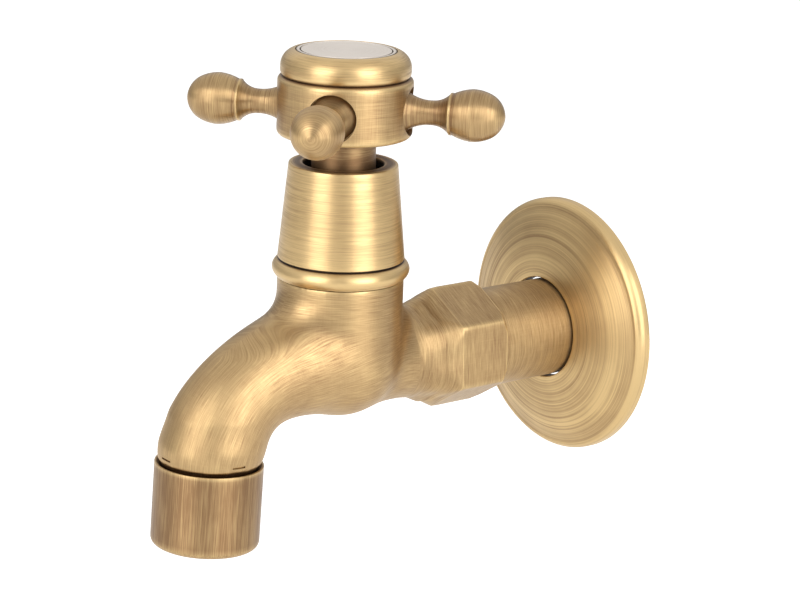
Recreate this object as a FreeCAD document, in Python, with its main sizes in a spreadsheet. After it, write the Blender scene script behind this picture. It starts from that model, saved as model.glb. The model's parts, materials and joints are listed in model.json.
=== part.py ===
import FreeCAD, Part
import math
import os
import re

import Sketcher

# Wall-mounted cold or hot water tap with a cross handle, in brushed brass.
# Frame: +Z up. The wall is the plane y = 0 and the tap stands out towards -Y. The inlet pipe
# lies on the Y axis, and the valve turns about the upright axis at y = -valve_distance. In mm.

SIZES = {
    # the tap as a whole
    "valve_distance": 66.0,  # wall to the upright valve axis
    "slack": 0.05,  # radial clearance of pieces that turn or slide in each other
    # inlet: pipe, thread into the wall and hexagon for the spanner
    "thread_radius": 10.48,  # G 1/2 thread, 20.96 across
    "thread_length": 13.0,
    "thread_chamfer": 1.0,
    "pipe_radius": 11.25,
    "inlet_bore": 6.0,
    "bore_stop": 13.0,  # how far the bore ends short of the valve axis
    "hex_across": 24.4,
    "hex_turn": 32.0,  # angle of the first corner above the level
    "hex_back": 27.5,  # distances of the hexagon's two ends from the wall
    "hex_front": 40.4,
    "hex_chamfer": 1.1,
    "shoulder_length": 8.0,  # rounded shoulder in front of the hexagon
    "shoulder_middle": 4.2,
    "shoulder_radius": 11.8,
    # casting: round well under the bonnet, barrel towards the wall, spout
    "well_radius": 13.9,
    "well_height": 2.35,  # centre of the well's round bottom
    "neck_height": 20.7,  # top face that the bonnet stands on
    "barrel_radius": 10.0,
    "casting_fillet": 7.5,
    "spout_root_height": 5.4,
    "spout_root_radius": 13.1,
    "spout_throat_out": 12.0,  # "out" sizes of the spout are measured from the valve axis
    "spout_throat_height": 2.5,
    "spout_throat_radius": 12.3,
    "spout_throat_slope": 12.0,
    "spout_knee_out": 21.4,
    "spout_knee_height": 0.2,
    "spout_knee_slope": 25.0,
    "spout_bend_out": 29.0,
    "spout_bend_height": -5.1,
    "spout_bend_slope": 52.0,
    "spout_radius": 10.85,
    "spout_end_radius": 11.2,
    # waterways inside the casting
    "seat_height": 6.0,
    "seat_bore": 4.0,
    "feed_radius": 4.0,
    "feed_height": -3.0,
    "chamber_radius": 10.55,
    "channel_start_out": 8.0,
    "channel_start_height": 9.3,
    "channel_start_radius": 3.3,
    "channel_wall": 4.4,
    "passage_step": 0.3,  # how much narrower the channel's way out through the spigot is
    # outlet: threaded spigot and the collar with its flow straightener
    "outlet_out": 33.8,  # centre of the collar's upper rim
    "outlet_height": -16.4,
    "outlet_tilt": 3.0,
    "outlet_gap": 0.6,
    "spigot_radius": 10.45,
    "spigot_bore": 8.2,
    "spigot_length": 6.0,
    "collar_radius": 11.82,
    "collar_length": 18.4,
    "collar_wall": 1.3,
    "collar_lip": 1.5,
    "collar_lip_width": 1.8,
    "collar_mouth": 0.9,
    "outlet_washer": 1.5,
    "cage_wall": 1.1,
    "cage_floor": 1.6,
    "cage_nose": 1.2,
    "diffuser_thickness": 2.0,
    "diffuser_hole": 0.7,
    "diffuser_hole_circle": 5.6,
    "screen_thickness": 0.4,
    "drip_hole": 1.1,
    # wall flange
    "flange_radius": 29.7,
    "flange_depth": 7.7,
    "flange_band": 1.4,
    "flange_round": 1.9,
    "flange_dome": 42.0,
    "flange_wall": 1.3,
    "flange_hole": 11.86,
    # bonnet
    "bonnet_foot": 14.3,
    "bead_radius": 15.1,
    "bead_height": 3.9,
    "groove_radius": 13.95,
    "bonnet_top_radius": 11.9,
    "bonnet_length": 25.2,
    "bonnet_hole": 8.88,
    "bonnet_wall": 1.5,
    "bonnet_roof": 2.0,
    "bonnet_web": 3.0,
    "bonnet_web_gap": 2.0,  # from the headwork's hexagon up to the web
    # headwork: the screwed-in valve unit
    "seal_width": 2.6,
    "seal_height": 2.5,
    "skirt_radius": 8.6,
    "disc_radius": 7.6,
    "fixed_disc": 3.0,
    "moving_disc": 2.5,
    "film": 0.02,
    "port_radius": 2.0,
    "port_offset": 4.2,
    "driver_thickness": 3.0,
    "key_width": 3.0,
    "key_length": 10.0,
    "key_depth": 1.2,
    "slip_ring": 0.8,
    "window_width": 9.0,
    "window_height": 3.5,
    "gland_washer": 1.0,
    "gland_washer_width": 1.7,
    "gland_flange": 1.5,
    "gland_hex_across": 19.5,
    "gland_hex": 5.8,
    "gland_neck": 8.7,
    "gland_neck_length": 6.0,
    "spindle_radius": 5.2,
    "ring_thickness": 1.5,
    "ring_rise": 2.3,  # from the gland's foot up to the lower seal ring
    "ring_spacing": 4.0,
    "clip_thickness": 1.0,
    "clip_radius": 7.0,
    "clip_opening": 5.0,
    "clip_depth": 0.8,
    "spline_radius": 3.9,
    "spline_rise": 2.0,  # from the gland's top up to the splines
    "spline_engagement": 0.8,  # how far the splines reach into the hub
    # handle
    "handle_angle": 42.0,  # turn of the first arm from +X with the valve closed
    "boss_radius": 7.0,
    "boss_gap": 1.5,  # from the spindle's shoulder up to the boss
    "boss_web": 2.0,
    "handle_gap": 6.1,  # from the bonnet's top up to the hub
    "hub_height": 13.0,
    "hub_radius": 14.7,
    "hub_round": 1.2,
    "boss_seat": 3.0,
    "hub_web": 2.5,
    "screw_radius": 2.45,
    "screw_head": 4.2,
    "screw_head_height": 3.0,
    "screw_length": 15.0,
    "screw_socket": 1.6,
    "washer_radius": 4.8,
    "washer_thickness": 0.8,
    "well_clearance": 0.4,
    "cap_spigot": 8.4,
    "cap_spigot_length": 3.2,
    "cap_radius": 14.15,
    "cap_seam": 0.5,
    "cap_rise": 5.6,  # from the hub's top up to the cap's top
    "cap_round": 3.6,
    "groove_outer": 10.98,
    "groove_depth": 0.8,
    "index_radius": 9.92,
    "index_thickness": 1.5,
    # cross arms, measured outwards from the handle's axis
    "arm_rise": 6.1,  # from the hub's bottom up to the arms
    "stud_radius": 2.4,
    "stud_start": 6.4,
    "root_start": 11.7,
    "root_radius": 5.0,
    "root_hole": 5.3,
    "neck_reach": 19.1,
    "neck_radius": 2.68,
    "ridge_reach": 22.9,
    "ridge_radius": 4.5,
    "ridge_width": 0.7,
    "ridge_rise": 0.12,
    "bulb_reach": 27.85,
    "bulb_radius": 5.66,
    "arm_reach": 34.9,
}

V = FreeCAD.Vector
LEFT, RIGHT = 1, -1
WORD = re.compile(r"[a-z]\w*")

doc = FreeCAD.newDocument("CrossHandleTap")
sheet = doc.addObject("Spreadsheet::Sheet", "Sizes")
for row, (size_name, size) in enumerate(SIZES.items(), start=1):
    sheet.set(f"A{row}", size_name)
    sheet.set(f"B{row}", str(size))
    sheet.setAlias(f"B{row}", size_name)
doc.recompute()


def linked(rule):
    """A rule such as "pipe_radius - slack" with each size written as a cell of the sheet."""
    return WORD.sub(lambda word: f"Sizes.{word[0]}" if word[0] in SIZES else word[0], str(rule))


def worth(rule):
    """The present value of a rule, in mm or degrees."""
    return float(sheet.evalExpression(str(rule)))


def new_body(node, reach="0", height="0", turn=None, turn_axis=V(0, 0, 1)):
    """One piece of the tap: reach is its distance from the wall, height its place above the pipe."""
    body = doc.addObject("PartDesign::Body", node)
    body.Label = node
    if turn is not None:
        body.Placement = FreeCAD.Placement(V(), FreeCAD.Rotation(turn_axis, worth(turn)))
        body.setExpression("Placement.Rotation.Angle", linked(turn))
    body.setExpression("Placement.Base.y", linked(f"-({reach})"))
    body.setExpression("Placement.Base.z", linked(height))
    return body


def new_sketch(body, name, plane="XZ_Plane", reach="0", height="0", slope=None):
    """A sketch on a plane of the body, moved out by reach, up by height and tipped forward by slope."""
    sketch = body.newObject("Sketcher::SketchObject", name)
    origin_plane = next(item for item in body.Origin.OriginFeatures if item.Role == plane)
    sketch.AttachmentSupport = [(origin_plane, "")]
    sketch.MapMode = "FlatFace"
    if slope is not None:
        tip = FreeCAD.Rotation(V(1, 0, 0), worth(slope))
        sketch.AttachmentOffset = FreeCAD.Placement(V(), tip)
        sketch.setExpression("AttachmentOffset.Rotation.Angle", linked(slope))
    sketch.setExpression("AttachmentOffset.Base.z", linked(reach))
    sketch.setExpression("AttachmentOffset.Base.y", linked(height))
    return sketch


def constrain(sketch, rule, *terms):
    """Adds one measured constraint and binds it to its rule."""
    index = sketch.addConstraint(Sketcher.Constraint(*terms, worth(rule)))
    sketch.setExpression(f"Constraints[{index}]", linked(rule))


def arc_between(start, stop, radius, side):
    """The short arc from start to stop that turns left or right along the outline."""
    half = (stop - start) * 0.5
    rise = math.sqrt(max(radius**2 - half.Length**2, 0.0))
    across = V(-half.y, half.x, 0).normalize() * side
    centre = start + half + across * rise
    first, last = (start, stop) if side == LEFT else (stop, start)
    angles = [math.atan2(end.y - centre.y, end.x - centre.x) for end in (first, last)]
    return Part.ArcOfCircle(Part.Circle(centre, V(0, 0, 1), radius), *angles)


def draw_outline(sketch, corners):
    """A closed outline. A corner is (x, y), or (x, y, radius, side) where an arc leads to it."""
    places = [V(worth(corner[0]), worth(corner[1]), 0) for corner in corners]
    ends = []
    for index, corner in enumerate(corners):
        start, stop = places[index - 1], places[index]
        if len(corner) == 2:
            edge = sketch.addGeometry(Part.LineSegment(start, stop), False)
            ends.append((edge, 1, 2))
            continue
        radius, side = corner[2:]
        edge = sketch.addGeometry(arc_between(start, stop, worth(radius), side), False)
        ends.append((edge, 1, 2) if side == LEFT else (edge, 2, 1))
        constrain(sketch, radius, "Radius", edge)
    for (edge, _, stop), (following, start, _), corner in zip(ends, ends[1:] + ends[:1], corners):
        sketch.addConstraint(Sketcher.Constraint("Coincident", edge, stop, following, start))
        constrain(sketch, corner[0], "DistanceX", -1, 1, edge, stop)
        constrain(sketch, corner[1], "DistanceY", -1, 1, edge, stop)


def draw_circle(sketch, radius, x="0", y="0"):
    """A circle whose centre is measured from the sketch's origin."""
    place = V(worth(x), worth(y), 0)
    edge = sketch.addGeometry(Part.Circle(place, V(0, 0, 1), worth(radius)), False)
    constrain(sketch, radius, "Radius", edge)
    constrain(sketch, x, "DistanceX", -1, 1, edge, 3)
    constrain(sketch, y, "DistanceY", -1, 1, edge, 3)


def revolve(body, name, outline, axis="V_Axis", kind="Revolution", **where):
    """A turned form, or with kind Groove a turned cut. outline is corners, or fills in the sketch."""
    sketch = new_sketch(body, f"{name}_outline", **where)
    if callable(outline):
        outline(sketch)
    else:
        draw_outline(sketch, outline)
    feature = body.newObject(f"PartDesign::{kind}", name)
    feature.Profile = sketch
    feature.ReferenceAxis = (sketch, [axis])
    feature.Angle = 360
    doc.recompute()
    return feature


def pad(body, name, draw, length, kind="Pad", both=False, reverse=False, **where):
    """A straight form, or with kind Pocket a straight cut. draw fills in the sketch."""
    sketch = new_sketch(body, f"{name}_outline", **where)
    draw(sketch)
    feature = body.newObject(f"PartDesign::{kind}", name)
    feature.Profile = sketch
    feature.setExpression("Length", linked(length))
    feature.Midplane = both
    feature.Reversed = reverse
    doc.recompute()
    return feature


def loft(body, name, stations, kind="AdditiveLoft"):
    """A form through stations of (reach, height, slope, radius), or with corners as the radius."""
    sketches = []
    for count, (reach, height, slope, radius) in enumerate(stations, start=1):
        sketch = new_sketch(body, f"{name}_{count}", reach=reach, height=height, slope=slope)
        if isinstance(radius, list):
            draw_outline(sketch, radius)
        else:
            draw_circle(sketch, radius)
        sketches.append(sketch)
    feature = body.newObject(f"PartDesign::{kind}", name)
    feature.Profile = sketches[0]
    feature.Sections = sketches[1:]
    doc.recompute()
    return feature


def ring_of(body, name, feature, count):
    """Repeats a feature evenly round the body's upright axis."""
    pattern = body.newObject("PartDesign::PolarPattern", name)
    pattern.Originals = [feature]
    upright = next(item for item in body.Origin.OriginFeatures if item.Role == "Z_Axis")
    pattern.Axis = (upright, [""])
    pattern.Angle = 360
    pattern.Occurrences = count
    body.Tip = pattern
    doc.recompute()
    return pattern


def six_corners(radius, turn="0"):
    """Corner rules of a hexagon inside a circle, the first corner at an angle of turn."""
    steps = [f"{turn} + {step}" for step in range(0, 360, 60)]
    return [(f"({radius}) * cos({step})", f"({radius}) * sin({step})") for step in steps]


def hexagon(across, turn="0"):
    """Corner rules of a hexagon of a given width across its flats."""
    return six_corners(f"({across}) / sqrt(3)", turn)


def six_arcs(radius, turn="0"):
    """A circle drawn as six arcs that meet where a hexagon has its corners."""
    return [(x, y, radius, LEFT) for x, y in six_corners(radius, turn)]


def rectangle(left, right, bottom, top):
    """Corners of an upright rectangle. Turned about the upright axis, it is a plain ring."""
    return [(left, bottom), (right, bottom), (right, top), (left, top)]


def creases(shape):
    """Names of the edges where two rounded faces meet at an angle."""
    smooth_limit = math.radians(5)
    names = []
    for number, edge in enumerate(shape.Edges, start=1):
        faces = shape.ancestorsOfType(edge, Part.Face)
        if len(faces) != 2 or any(isinstance(face.Surface, Part.Plane) for face in faces):
            continue
        middle = edge.valueAt((edge.FirstParameter + edge.LastParameter) / 2)
        normals = [face.normalAt(*face.Surface.parameter(middle)) for face in faces]
        if normals[0].getAngle(normals[1]) > smooth_limit:
            names.append(f"Edge{number}")
    return names


def round_edges(body, name, feature, edges, radius):
    """Rounds the named edges of a feature."""
    fillet = body.newObject("PartDesign::Fillet", name)
    fillet.Base = (feature, edges)
    fillet.setExpression("Radius", linked(radius))
    doc.recompute()
    return fillet


# The valve body: one casting with its machined ends and its waterways.

BORE_END = "valve_distance - bore_stop"
OUTLET_REACH = "valve_distance + outlet_out"
OUTLET = {
    "reach": OUTLET_REACH,
    "height": "outlet_height",
    "slope": "-outlet_tilt",
}
SPOUT_END = (
    f"{OUTLET_REACH} - outlet_gap * sin(outlet_tilt)",
    "outlet_height + outlet_gap * cos(outlet_tilt)",
    "90 - outlet_tilt",
)


def make_casting(body):
    """Well, barrel and spout, blended into each other."""
    well_bottom = "well_height - well_radius"
    well = [
        ("0", well_bottom),
        ("well_radius", "well_height", "well_radius", LEFT),
        ("well_radius", "neck_height"),
        ("0", "neck_height"),
    ]
    revolve(body, "well", well, reach="valve_distance")

    def barrel(sketch):
        draw_circle(sketch, "barrel_radius")

    pad(body, "barrel", barrel, "valve_distance - hex_front", reach="hex_front")
    spout = [
        ("valve_distance", "spout_root_height", "spout_throat_slope", "spout_root_radius"),
        ("valve_distance + spout_throat_out", "spout_throat_height", "spout_throat_slope",
         "spout_throat_radius"),
        ("valve_distance + spout_knee_out", "spout_knee_height", "spout_knee_slope", "spout_radius"),
        ("valve_distance + spout_bend_out", "spout_bend_height", "spout_bend_slope", "spout_radius"),
        (*SPOUT_END, "spout_end_radius"),
    ]
    casting = loft(body, "spout", spout)
    return round_edges(body, "blends", casting, creases(casting.Shape), "casting_fillet")


def make_inlet(body):
    """Shoulder, hexagon, pipe and thread, all turned on the Y axis."""
    corner = "hex_across / sqrt(3)"
    turned = [
        ("-hex_front", "0"),
        ("thread_length", "0"),
        ("thread_length", "thread_radius - thread_chamfer"),
        ("thread_length - thread_chamfer", "thread_radius"),
        ("0", "thread_radius"),
        ("0", "pipe_radius"),
        ("-hex_back", "pipe_radius"),
        ("-hex_back", f"{corner} - hex_chamfer"),
        ("-hex_back - hex_chamfer", corner),
        ("-hex_front", corner),
    ]
    revolve(body, "inlet", turned, axis="H_Axis", plane="YZ_Plane")
    shoulder = [
        ("hex_front", "0", None, hexagon("hex_across", "hex_turn")),
        ("hex_front + shoulder_middle", "0", None, six_arcs("shoulder_radius", "hex_turn")),
        ("hex_front + shoulder_length", "0", None, six_arcs("barrel_radius", "hex_turn")),
    ]
    loft(body, "shoulder", shoulder)

    def around_hexagon(sketch):
        draw_outline(sketch, hexagon("hex_across", "hex_turn"))
        draw_circle(sketch, "hex_across")

    flats = "hex_front - hex_back + shoulder_length"
    pad(body, "hexagon", around_hexagon, flats, kind="Pocket", reverse=True, reach="hex_back")


def make_waterways(body):
    """Inlet bore, feed, seat, valve chamber, spout channel and outlet spigot."""
    chamber = [
        ("0", "feed_height"),
        ("seat_bore", "feed_height"),
        ("seat_bore", "seat_height"),
        ("chamber_radius", "seat_height"),
        ("chamber_radius", "neck_height + 1"),
        ("0", "neck_height + 1"),
    ]
    revolve(body, "chamber", chamber, kind="Groove", reach="valve_distance")
    bore = [
        (f"-({BORE_END})", "0"),
        ("thread_length + 1", "0"),
        ("thread_length + 1", "inlet_bore"),
        (f"-({BORE_END}) + 2", "inlet_bore"),
        (f"-({BORE_END})", "inlet_bore - 2"),
    ]
    revolve(body, "inlet_bore_cut", bore, axis="H_Axis", kind="Groove", plane="YZ_Plane")

    def feed(sketch):
        draw_circle(sketch, "feed_radius", y="feed_height")

    pad(body, "feed", feed, "bore_stop + 2", kind="Pocket", reverse=True, reach=f"{BORE_END} - 2")
    channel = [
        ("valve_distance + channel_start_out", "channel_start_height", "spout_throat_slope",
         "channel_start_radius"),
        ("valve_distance + spout_knee_out - channel_wall", "spout_knee_height + channel_wall",
         "spout_knee_slope + 8", "spout_radius - 1.3 * channel_wall"),
        ("valve_distance + spout_bend_out - 0.2 * channel_wall", "spout_bend_height + 0.2 * channel_wall",
         "spout_bend_slope", "spout_radius - channel_wall"),
        (*SPOUT_END, "spout_radius - channel_wall"),
    ]
    loft(body, "channel", channel, kind="SubtractiveLoft")
    spigot = rectangle("0", "spigot_radius", "-spigot_length", "outlet_gap")
    revolve(body, "spigot", spigot, **OUTLET)
    mouth = rectangle("0", "spigot_bore", "-spigot_length - 1", "-1")
    revolve(body, "spigot_bore_cut", mouth, kind="Groove", **OUTLET)
    narrow = "spout_radius - channel_wall - passage_step"
    passage = rectangle("0", narrow, "-spigot_length", "outlet_gap + 0.5")
    return revolve(body, "spigot_passage", passage, kind="Groove", **OUTLET)


def make_valve_body():
    body = new_body("valve_body")
    make_casting(body)
    make_inlet(body)
    make_waterways(body)


# Outlet collar and what it holds. Each is turned about the outlet's tilted axis.

def outlet_body(node):
    return new_body(node, OUTLET_REACH, "outlet_height", turn="-outlet_tilt", turn_axis=V(1, 0, 0))


COLLAR_BORE = "collar_radius - collar_wall"
LIP_TOP = "-collar_length + collar_lip"
WASHER_TOP = "-spigot_length - 2 * slack"
CAGE_TOP = f"{WASHER_TOP} - outlet_washer"
CAGE_RADIUS = f"{COLLAR_BORE} - slack"
CAGE_SHELF = f"{CAGE_TOP} - diffuser_thickness"
CAGE_FLOOR = f"{LIP_TOP} + cage_floor"


def make_outlet():
    mouth = f"{COLLAR_BORE} + collar_mouth"
    lip_bore = f"{COLLAR_BORE} - collar_lip_width"
    collar = [
        (COLLAR_BORE, "-collar_mouth"),
        (COLLAR_BORE, LIP_TOP),
        (lip_bore, LIP_TOP),
        (lip_bore, "-collar_length"),
        ("collar_radius - collar_lip", "-collar_length"),
        ("collar_radius", LIP_TOP, "collar_lip", LEFT),
        ("collar_radius", "0"),
        (mouth, "0"),
    ]
    revolve(outlet_body("outlet_collar"), "collar", collar)
    washer = rectangle("spigot_bore", CAGE_RADIUS, CAGE_TOP, WASHER_TOP)
    revolve(outlet_body("outlet_washer"), "washer", washer)

    cage = outlet_body("straightener_cage")
    inner = f"{CAGE_RADIUS} - cage_wall"
    shell = [
        ("0", CAGE_FLOOR),
        ("0", f"{LIP_TOP} - cage_nose"),
        (f"{lip_bore} - slack", f"{LIP_TOP} - cage_nose"),
        (f"{lip_bore} - slack", LIP_TOP),
        (CAGE_RADIUS, LIP_TOP),
        (CAGE_RADIUS, CAGE_TOP),
        (inner, CAGE_TOP),
        (inner, CAGE_SHELF),
        (f"{inner} - cage_wall", CAGE_SHELF),
        (f"{inner} - cage_wall", CAGE_FLOOR),
    ]
    revolve(cage, "shell", shell)
    depth = "cage_floor + cage_nose + 1"

    def drip(sketch):
        draw_circle(sketch, "drip_hole", x="2.6 * drip_hole")

    def outer_drip(sketch):
        draw_circle(sketch, "drip_hole", x="5.2 * drip_hole")

    floor = {"plane": "XY_Plane", "reach": CAGE_FLOOR}
    inner_drip = pad(cage, "drip", drip, depth, kind="Pocket", **floor)
    ring_of(cage, "inner_drips", inner_drip, 6)
    far_drip = pad(cage, "outer_drip", outer_drip, depth, kind="Pocket", **floor)
    ring_of(cage, "outer_drips", far_drip, 12)

    diffuser = outlet_body("flow_diffuser")
    plate = rectangle("0", f"{inner} - slack", CAGE_SHELF, CAGE_TOP)
    revolve(diffuser, "plate", plate)

    def jet(sketch):
        draw_circle(sketch, "diffuser_hole", x="diffuser_hole_circle")

    top = {"plane": "XY_Plane", "reach": CAGE_TOP}
    hole = pad(diffuser, "jet", jet, "diffuser_thickness + 1", kind="Pocket", **top)
    ring_of(diffuser, "jets", hole, 12)

    screen = outlet_body("mesh_screen")
    screen_top = f"{CAGE_FLOOR} + screen_thickness"
    disc = rectangle("0", f"{inner} - cage_wall - slack", CAGE_FLOOR, screen_top)
    revolve(screen, "disc", disc)


def make_flange():
    """Domed wall flange, loose on the pipe. Its rim touches the wall."""
    rim_in = "flange_radius - flange_wall"
    round_start = "flange_radius - flange_round"
    brow = "flange_band + flange_round"
    shell = [
        ("0", "flange_radius"),
        ("0", rim_in),
        ("-flange_band", rim_in),
        ("-flange_depth + flange_wall", "flange_hole", "flange_dome - flange_wall", LEFT),
        ("-flange_depth", "flange_hole"),
        (f"-({brow})", round_start, "flange_dome", RIGHT),
        ("-flange_band", "flange_radius", "flange_round", RIGHT),
    ]
    revolve(new_body("wall_flange"), "flange", shell, axis="H_Axis", plane="YZ_Plane")


# Bonnet and headwork stand on the valve axis.

def axis_body(node, height="0", turn=None):
    return new_body(node, "valve_distance", height, turn=turn)


BEAD_TOP = "neck_height + bead_height"
BEAD_MIDDLE = "neck_height + bead_height / 2"
BONNET_TOP = "neck_height + bonnet_length"
TAPER = "(groove_radius - bonnet_top_radius) / (bonnet_length - bead_height)"
SEAL_TOP = "seat_height + seal_height"
FIXED_TOP = f"{SEAL_TOP} + fixed_disc"
MOVING_TOP = f"{FIXED_TOP} + film + moving_disc"
DRIVER_TOP = f"{MOVING_TOP} + driver_thickness"
SHOULDER = f"{DRIVER_TOP} + slip_ring + 2 * slack"
GLAND_FOOT = "neck_height + gland_washer"
GLAND_HEX = f"{GLAND_FOOT} + gland_flange"
GLAND_OUTER = "chamber_radius + gland_washer_width"
HEX_TOP = f"{GLAND_HEX} + gland_hex"
GLAND_TOP = f"{HEX_TOP} + gland_neck_length"
WEB_BOTTOM = f"{HEX_TOP} + bonnet_web_gap"
WEB_TOP = f"{WEB_BOTTOM} + bonnet_web"
RING_LOW = f"{GLAND_FOOT} + ring_rise"
RING_HIGH = f"{RING_LOW} + ring_spacing"
SPLINE_START = f"{GLAND_TOP} + spline_rise"
HUB_BOTTOM = f"{BONNET_TOP} + handle_gap"
SPLINE_TOP = f"{HUB_BOTTOM} + spline_engagement"


def inner_cone(height):
    """Inner radius of the bonnet's cone at a height."""
    return f"groove_radius - bonnet_wall - ({height} - ({BEAD_TOP})) * {TAPER}"


def bead_arc(edge):
    """Radius of the arc from a radius at the bead's edge to its widest place."""
    rise = f"(bead_radius - {edge})"
    return f"({rise} ^ 2 + (bead_height / 2) ^ 2) / (2 * {rise})"


def make_bonnet():
    roof = f"{BONNET_TOP} - bonnet_roof"
    shell = [
        (inner_cone(BEAD_TOP), "neck_height"),
        ("bonnet_foot", "neck_height"),
        ("bead_radius", BEAD_MIDDLE, bead_arc("bonnet_foot"), LEFT),
        ("groove_radius", BEAD_TOP, bead_arc("groove_radius"), LEFT),
        ("bonnet_top_radius", BONNET_TOP),
        ("bonnet_hole", BONNET_TOP),
        ("bonnet_hole", roof),
        (inner_cone(roof), roof),
        (inner_cone(WEB_TOP), WEB_TOP),
        ("gland_neck + slack", WEB_TOP),
        ("gland_neck + slack", WEB_BOTTOM),
        (inner_cone(WEB_BOTTOM), WEB_BOTTOM),
        (inner_cone(BEAD_TOP), BEAD_TOP),
    ]
    revolve(axis_body("bonnet"), "shell", shell)


def make_headwork_body():
    """Brass unit that screws into the neck and carries the spindle."""
    body = axis_body("headwork_body")
    skirt_bottom = "seat_height + 1"
    bore = "disc_radius + 2 * slack"
    turned = [
        (bore, skirt_bottom),
        ("skirt_radius", skirt_bottom),
        ("skirt_radius", SHOULDER),
        ("chamber_radius - slack", SHOULDER),
        ("chamber_radius - slack", GLAND_FOOT),
        (GLAND_OUTER, GLAND_FOOT),
        (GLAND_OUTER, GLAND_HEX),
        ("gland_hex_across / sqrt(3)", GLAND_HEX),
        ("gland_hex_across / sqrt(3)", HEX_TOP),
        ("gland_neck", HEX_TOP),
        ("gland_neck", GLAND_TOP),
        ("spindle_radius + slack", GLAND_TOP),
        ("spindle_radius + slack", SHOULDER),
        (bore, SHOULDER),
    ]
    revolve(body, "turned", turned)

    def around_hexagon(sketch):
        draw_outline(sketch, hexagon("gland_hex_across"))
        draw_circle(sketch, "gland_hex_across")

    hexagon_top = {"plane": "XY_Plane", "reach": HEX_TOP}
    pad(body, "hexagon", around_hexagon, "gland_hex", kind="Pocket", **hexagon_top)

    def window(sketch):
        bottom = f"{FIXED_TOP} + 1"
        top = f"{bottom} + window_height"
        draw_outline(sketch, rectangle("-window_width / 2", "window_width / 2", bottom, top))

    pad(body, "windows", window, "4 * chamber_radius", kind="Pocket", both=True)


def make_discs():
    """Lip seal on the seat and the two ceramic discs with their ports."""
    seal = rectangle("disc_radius - seal_width", "disc_radius", "seat_height", SEAL_TOP)
    revolve(axis_body("seat_seal"), "seal", seal)
    levels = {"fixed_disc": (SEAL_TOP, FIXED_TOP), "moving_disc": (f"{FIXED_TOP} + film", MOVING_TOP)}
    port_turn = {"fixed_disc": "0", "moving_disc": "90"}
    for node, (bottom, top) in levels.items():
        body = axis_body(f"{node}_ceramic", turn=f"handle_angle + {port_turn[node]}")
        revolve(body, "disc", rectangle("0", "disc_radius", bottom, top))

        def port(sketch):
            draw_circle(sketch, "port_radius", x="port_offset")

        where = {"plane": "XY_Plane", "reach": top}
        hole = pad(body, "port", port, f"{top} - ({bottom}) + 1", kind="Pocket", **where)
        ring_of(body, "ports", hole, 2)
        if node == "moving_disc":
            pad(body, "key_slot", draw_key("slack"), "key_depth + slack", kind="Pocket", **where)


def draw_key(room):
    """Bar that couples the spindle to the moving disc, with room all round it."""
    wide = f"key_width / 2 + {room}"
    long = f"key_length / 2 + {room}"

    def draw(sketch):
        draw_outline(sketch, rectangle(f"-({wide})", wide, f"-({long})", long))

    return draw


def make_spindle():
    """Spindle with its driver, the two seal grooves, the clip groove and the splined end."""
    body = axis_body("spindle", turn="handle_angle + 90")
    groove_floor = "spindle_radius - ring_thickness + slack"
    clip_low = f"{GLAND_TOP} + 2 * slack"
    clip_high = f"{clip_low} + clip_thickness"
    corners = [
        ("0", MOVING_TOP),
        ("disc_radius - slack", MOVING_TOP),
        ("disc_radius - slack", DRIVER_TOP),
        ("spindle_radius", DRIVER_TOP),
    ]
    for middle in (RING_LOW, RING_HIGH):
        low, high = f"{middle} - ring_thickness / 2 - slack", f"{middle} + ring_thickness / 2 + slack"
        corners += [
            ("spindle_radius", low),
            (groove_floor, low),
            (groove_floor, high),
            ("spindle_radius", high),
        ]
    clip_floor = "spindle_radius - clip_depth"
    corners += [
        ("spindle_radius", clip_low),
        (clip_floor, clip_low),
        (clip_floor, clip_high),
        ("spindle_radius", clip_high),
        ("spindle_radius", SPLINE_START),
        ("spline_radius", SPLINE_START),
        ("spline_radius", SPLINE_TOP),
        ("0", SPLINE_TOP),
    ]
    revolve(body, "turned", corners)
    key_place = {"plane": "XY_Plane", "reach": f"{MOVING_TOP} - key_depth"}
    pad(body, "key", draw_key("0"), "key_depth", **key_place)

    def tapped(sketch):
        draw_circle(sketch, "screw_radius + slack")

    top = {"plane": "XY_Plane", "reach": SPLINE_TOP}
    pad(body, "tapped_hole", tapped, "screw_length", kind="Pocket", **top)


def make_spindle_parts():
    """Slip ring, seal rings, clip and gland washer round the spindle."""
    slip_top = f"{DRIVER_TOP} + slip_ring"
    slip = rectangle("spindle_radius + slack", "disc_radius - slack", DRIVER_TOP, slip_top)
    revolve(axis_body("slip_ring"), "ring", slip)
    washer = rectangle("chamber_radius", GLAND_OUTER, "neck_height", GLAND_FOOT)
    revolve(axis_body("gland_washer"), "washer", washer)
    for node, middle in (("lower_seal_ring", RING_LOW), ("upper_seal_ring", RING_HIGH)):

        def section(sketch):
            centre = "spindle_radius + slack - ring_thickness / 2"
            draw_circle(sketch, "ring_thickness / 2", x=centre, y=middle)

        revolve(axis_body(node), "ring", section)

    clip = axis_body("spindle_clip", turn="handle_angle")
    low = f"{GLAND_TOP} + 2 * slack"
    high = f"{low} + clip_thickness"
    revolve(clip, "ring", rectangle("spindle_radius - clip_depth", "clip_radius", low, high))

    def opening(sketch):
        draw_outline(sketch, rectangle("0", "2 * clip_radius", "-clip_opening / 2", "clip_opening / 2"))

    top = {"plane": "XY_Plane", "reach": high}
    pad(clip, "opening", opening, "2 * clip_thickness", kind="Pocket", **top)


# The handle: boss, hub, four arms, screw, cap and index disc.

BOSS_BOTTOM = f"{SPLINE_START} + boss_gap"
BOSS_TOP = f"{HUB_BOTTOM} + boss_seat"
HUB_TOP = f"{HUB_BOTTOM} + hub_height"
CAP_TOP = f"{HUB_TOP} + cap_rise"
ARM_HEIGHT = f"{HUB_BOTTOM} + arm_rise"
HUB_WEB_TOP = f"{BOSS_TOP} + hub_web"
HEAD_WELL = "washer_radius + well_clearance"


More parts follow.
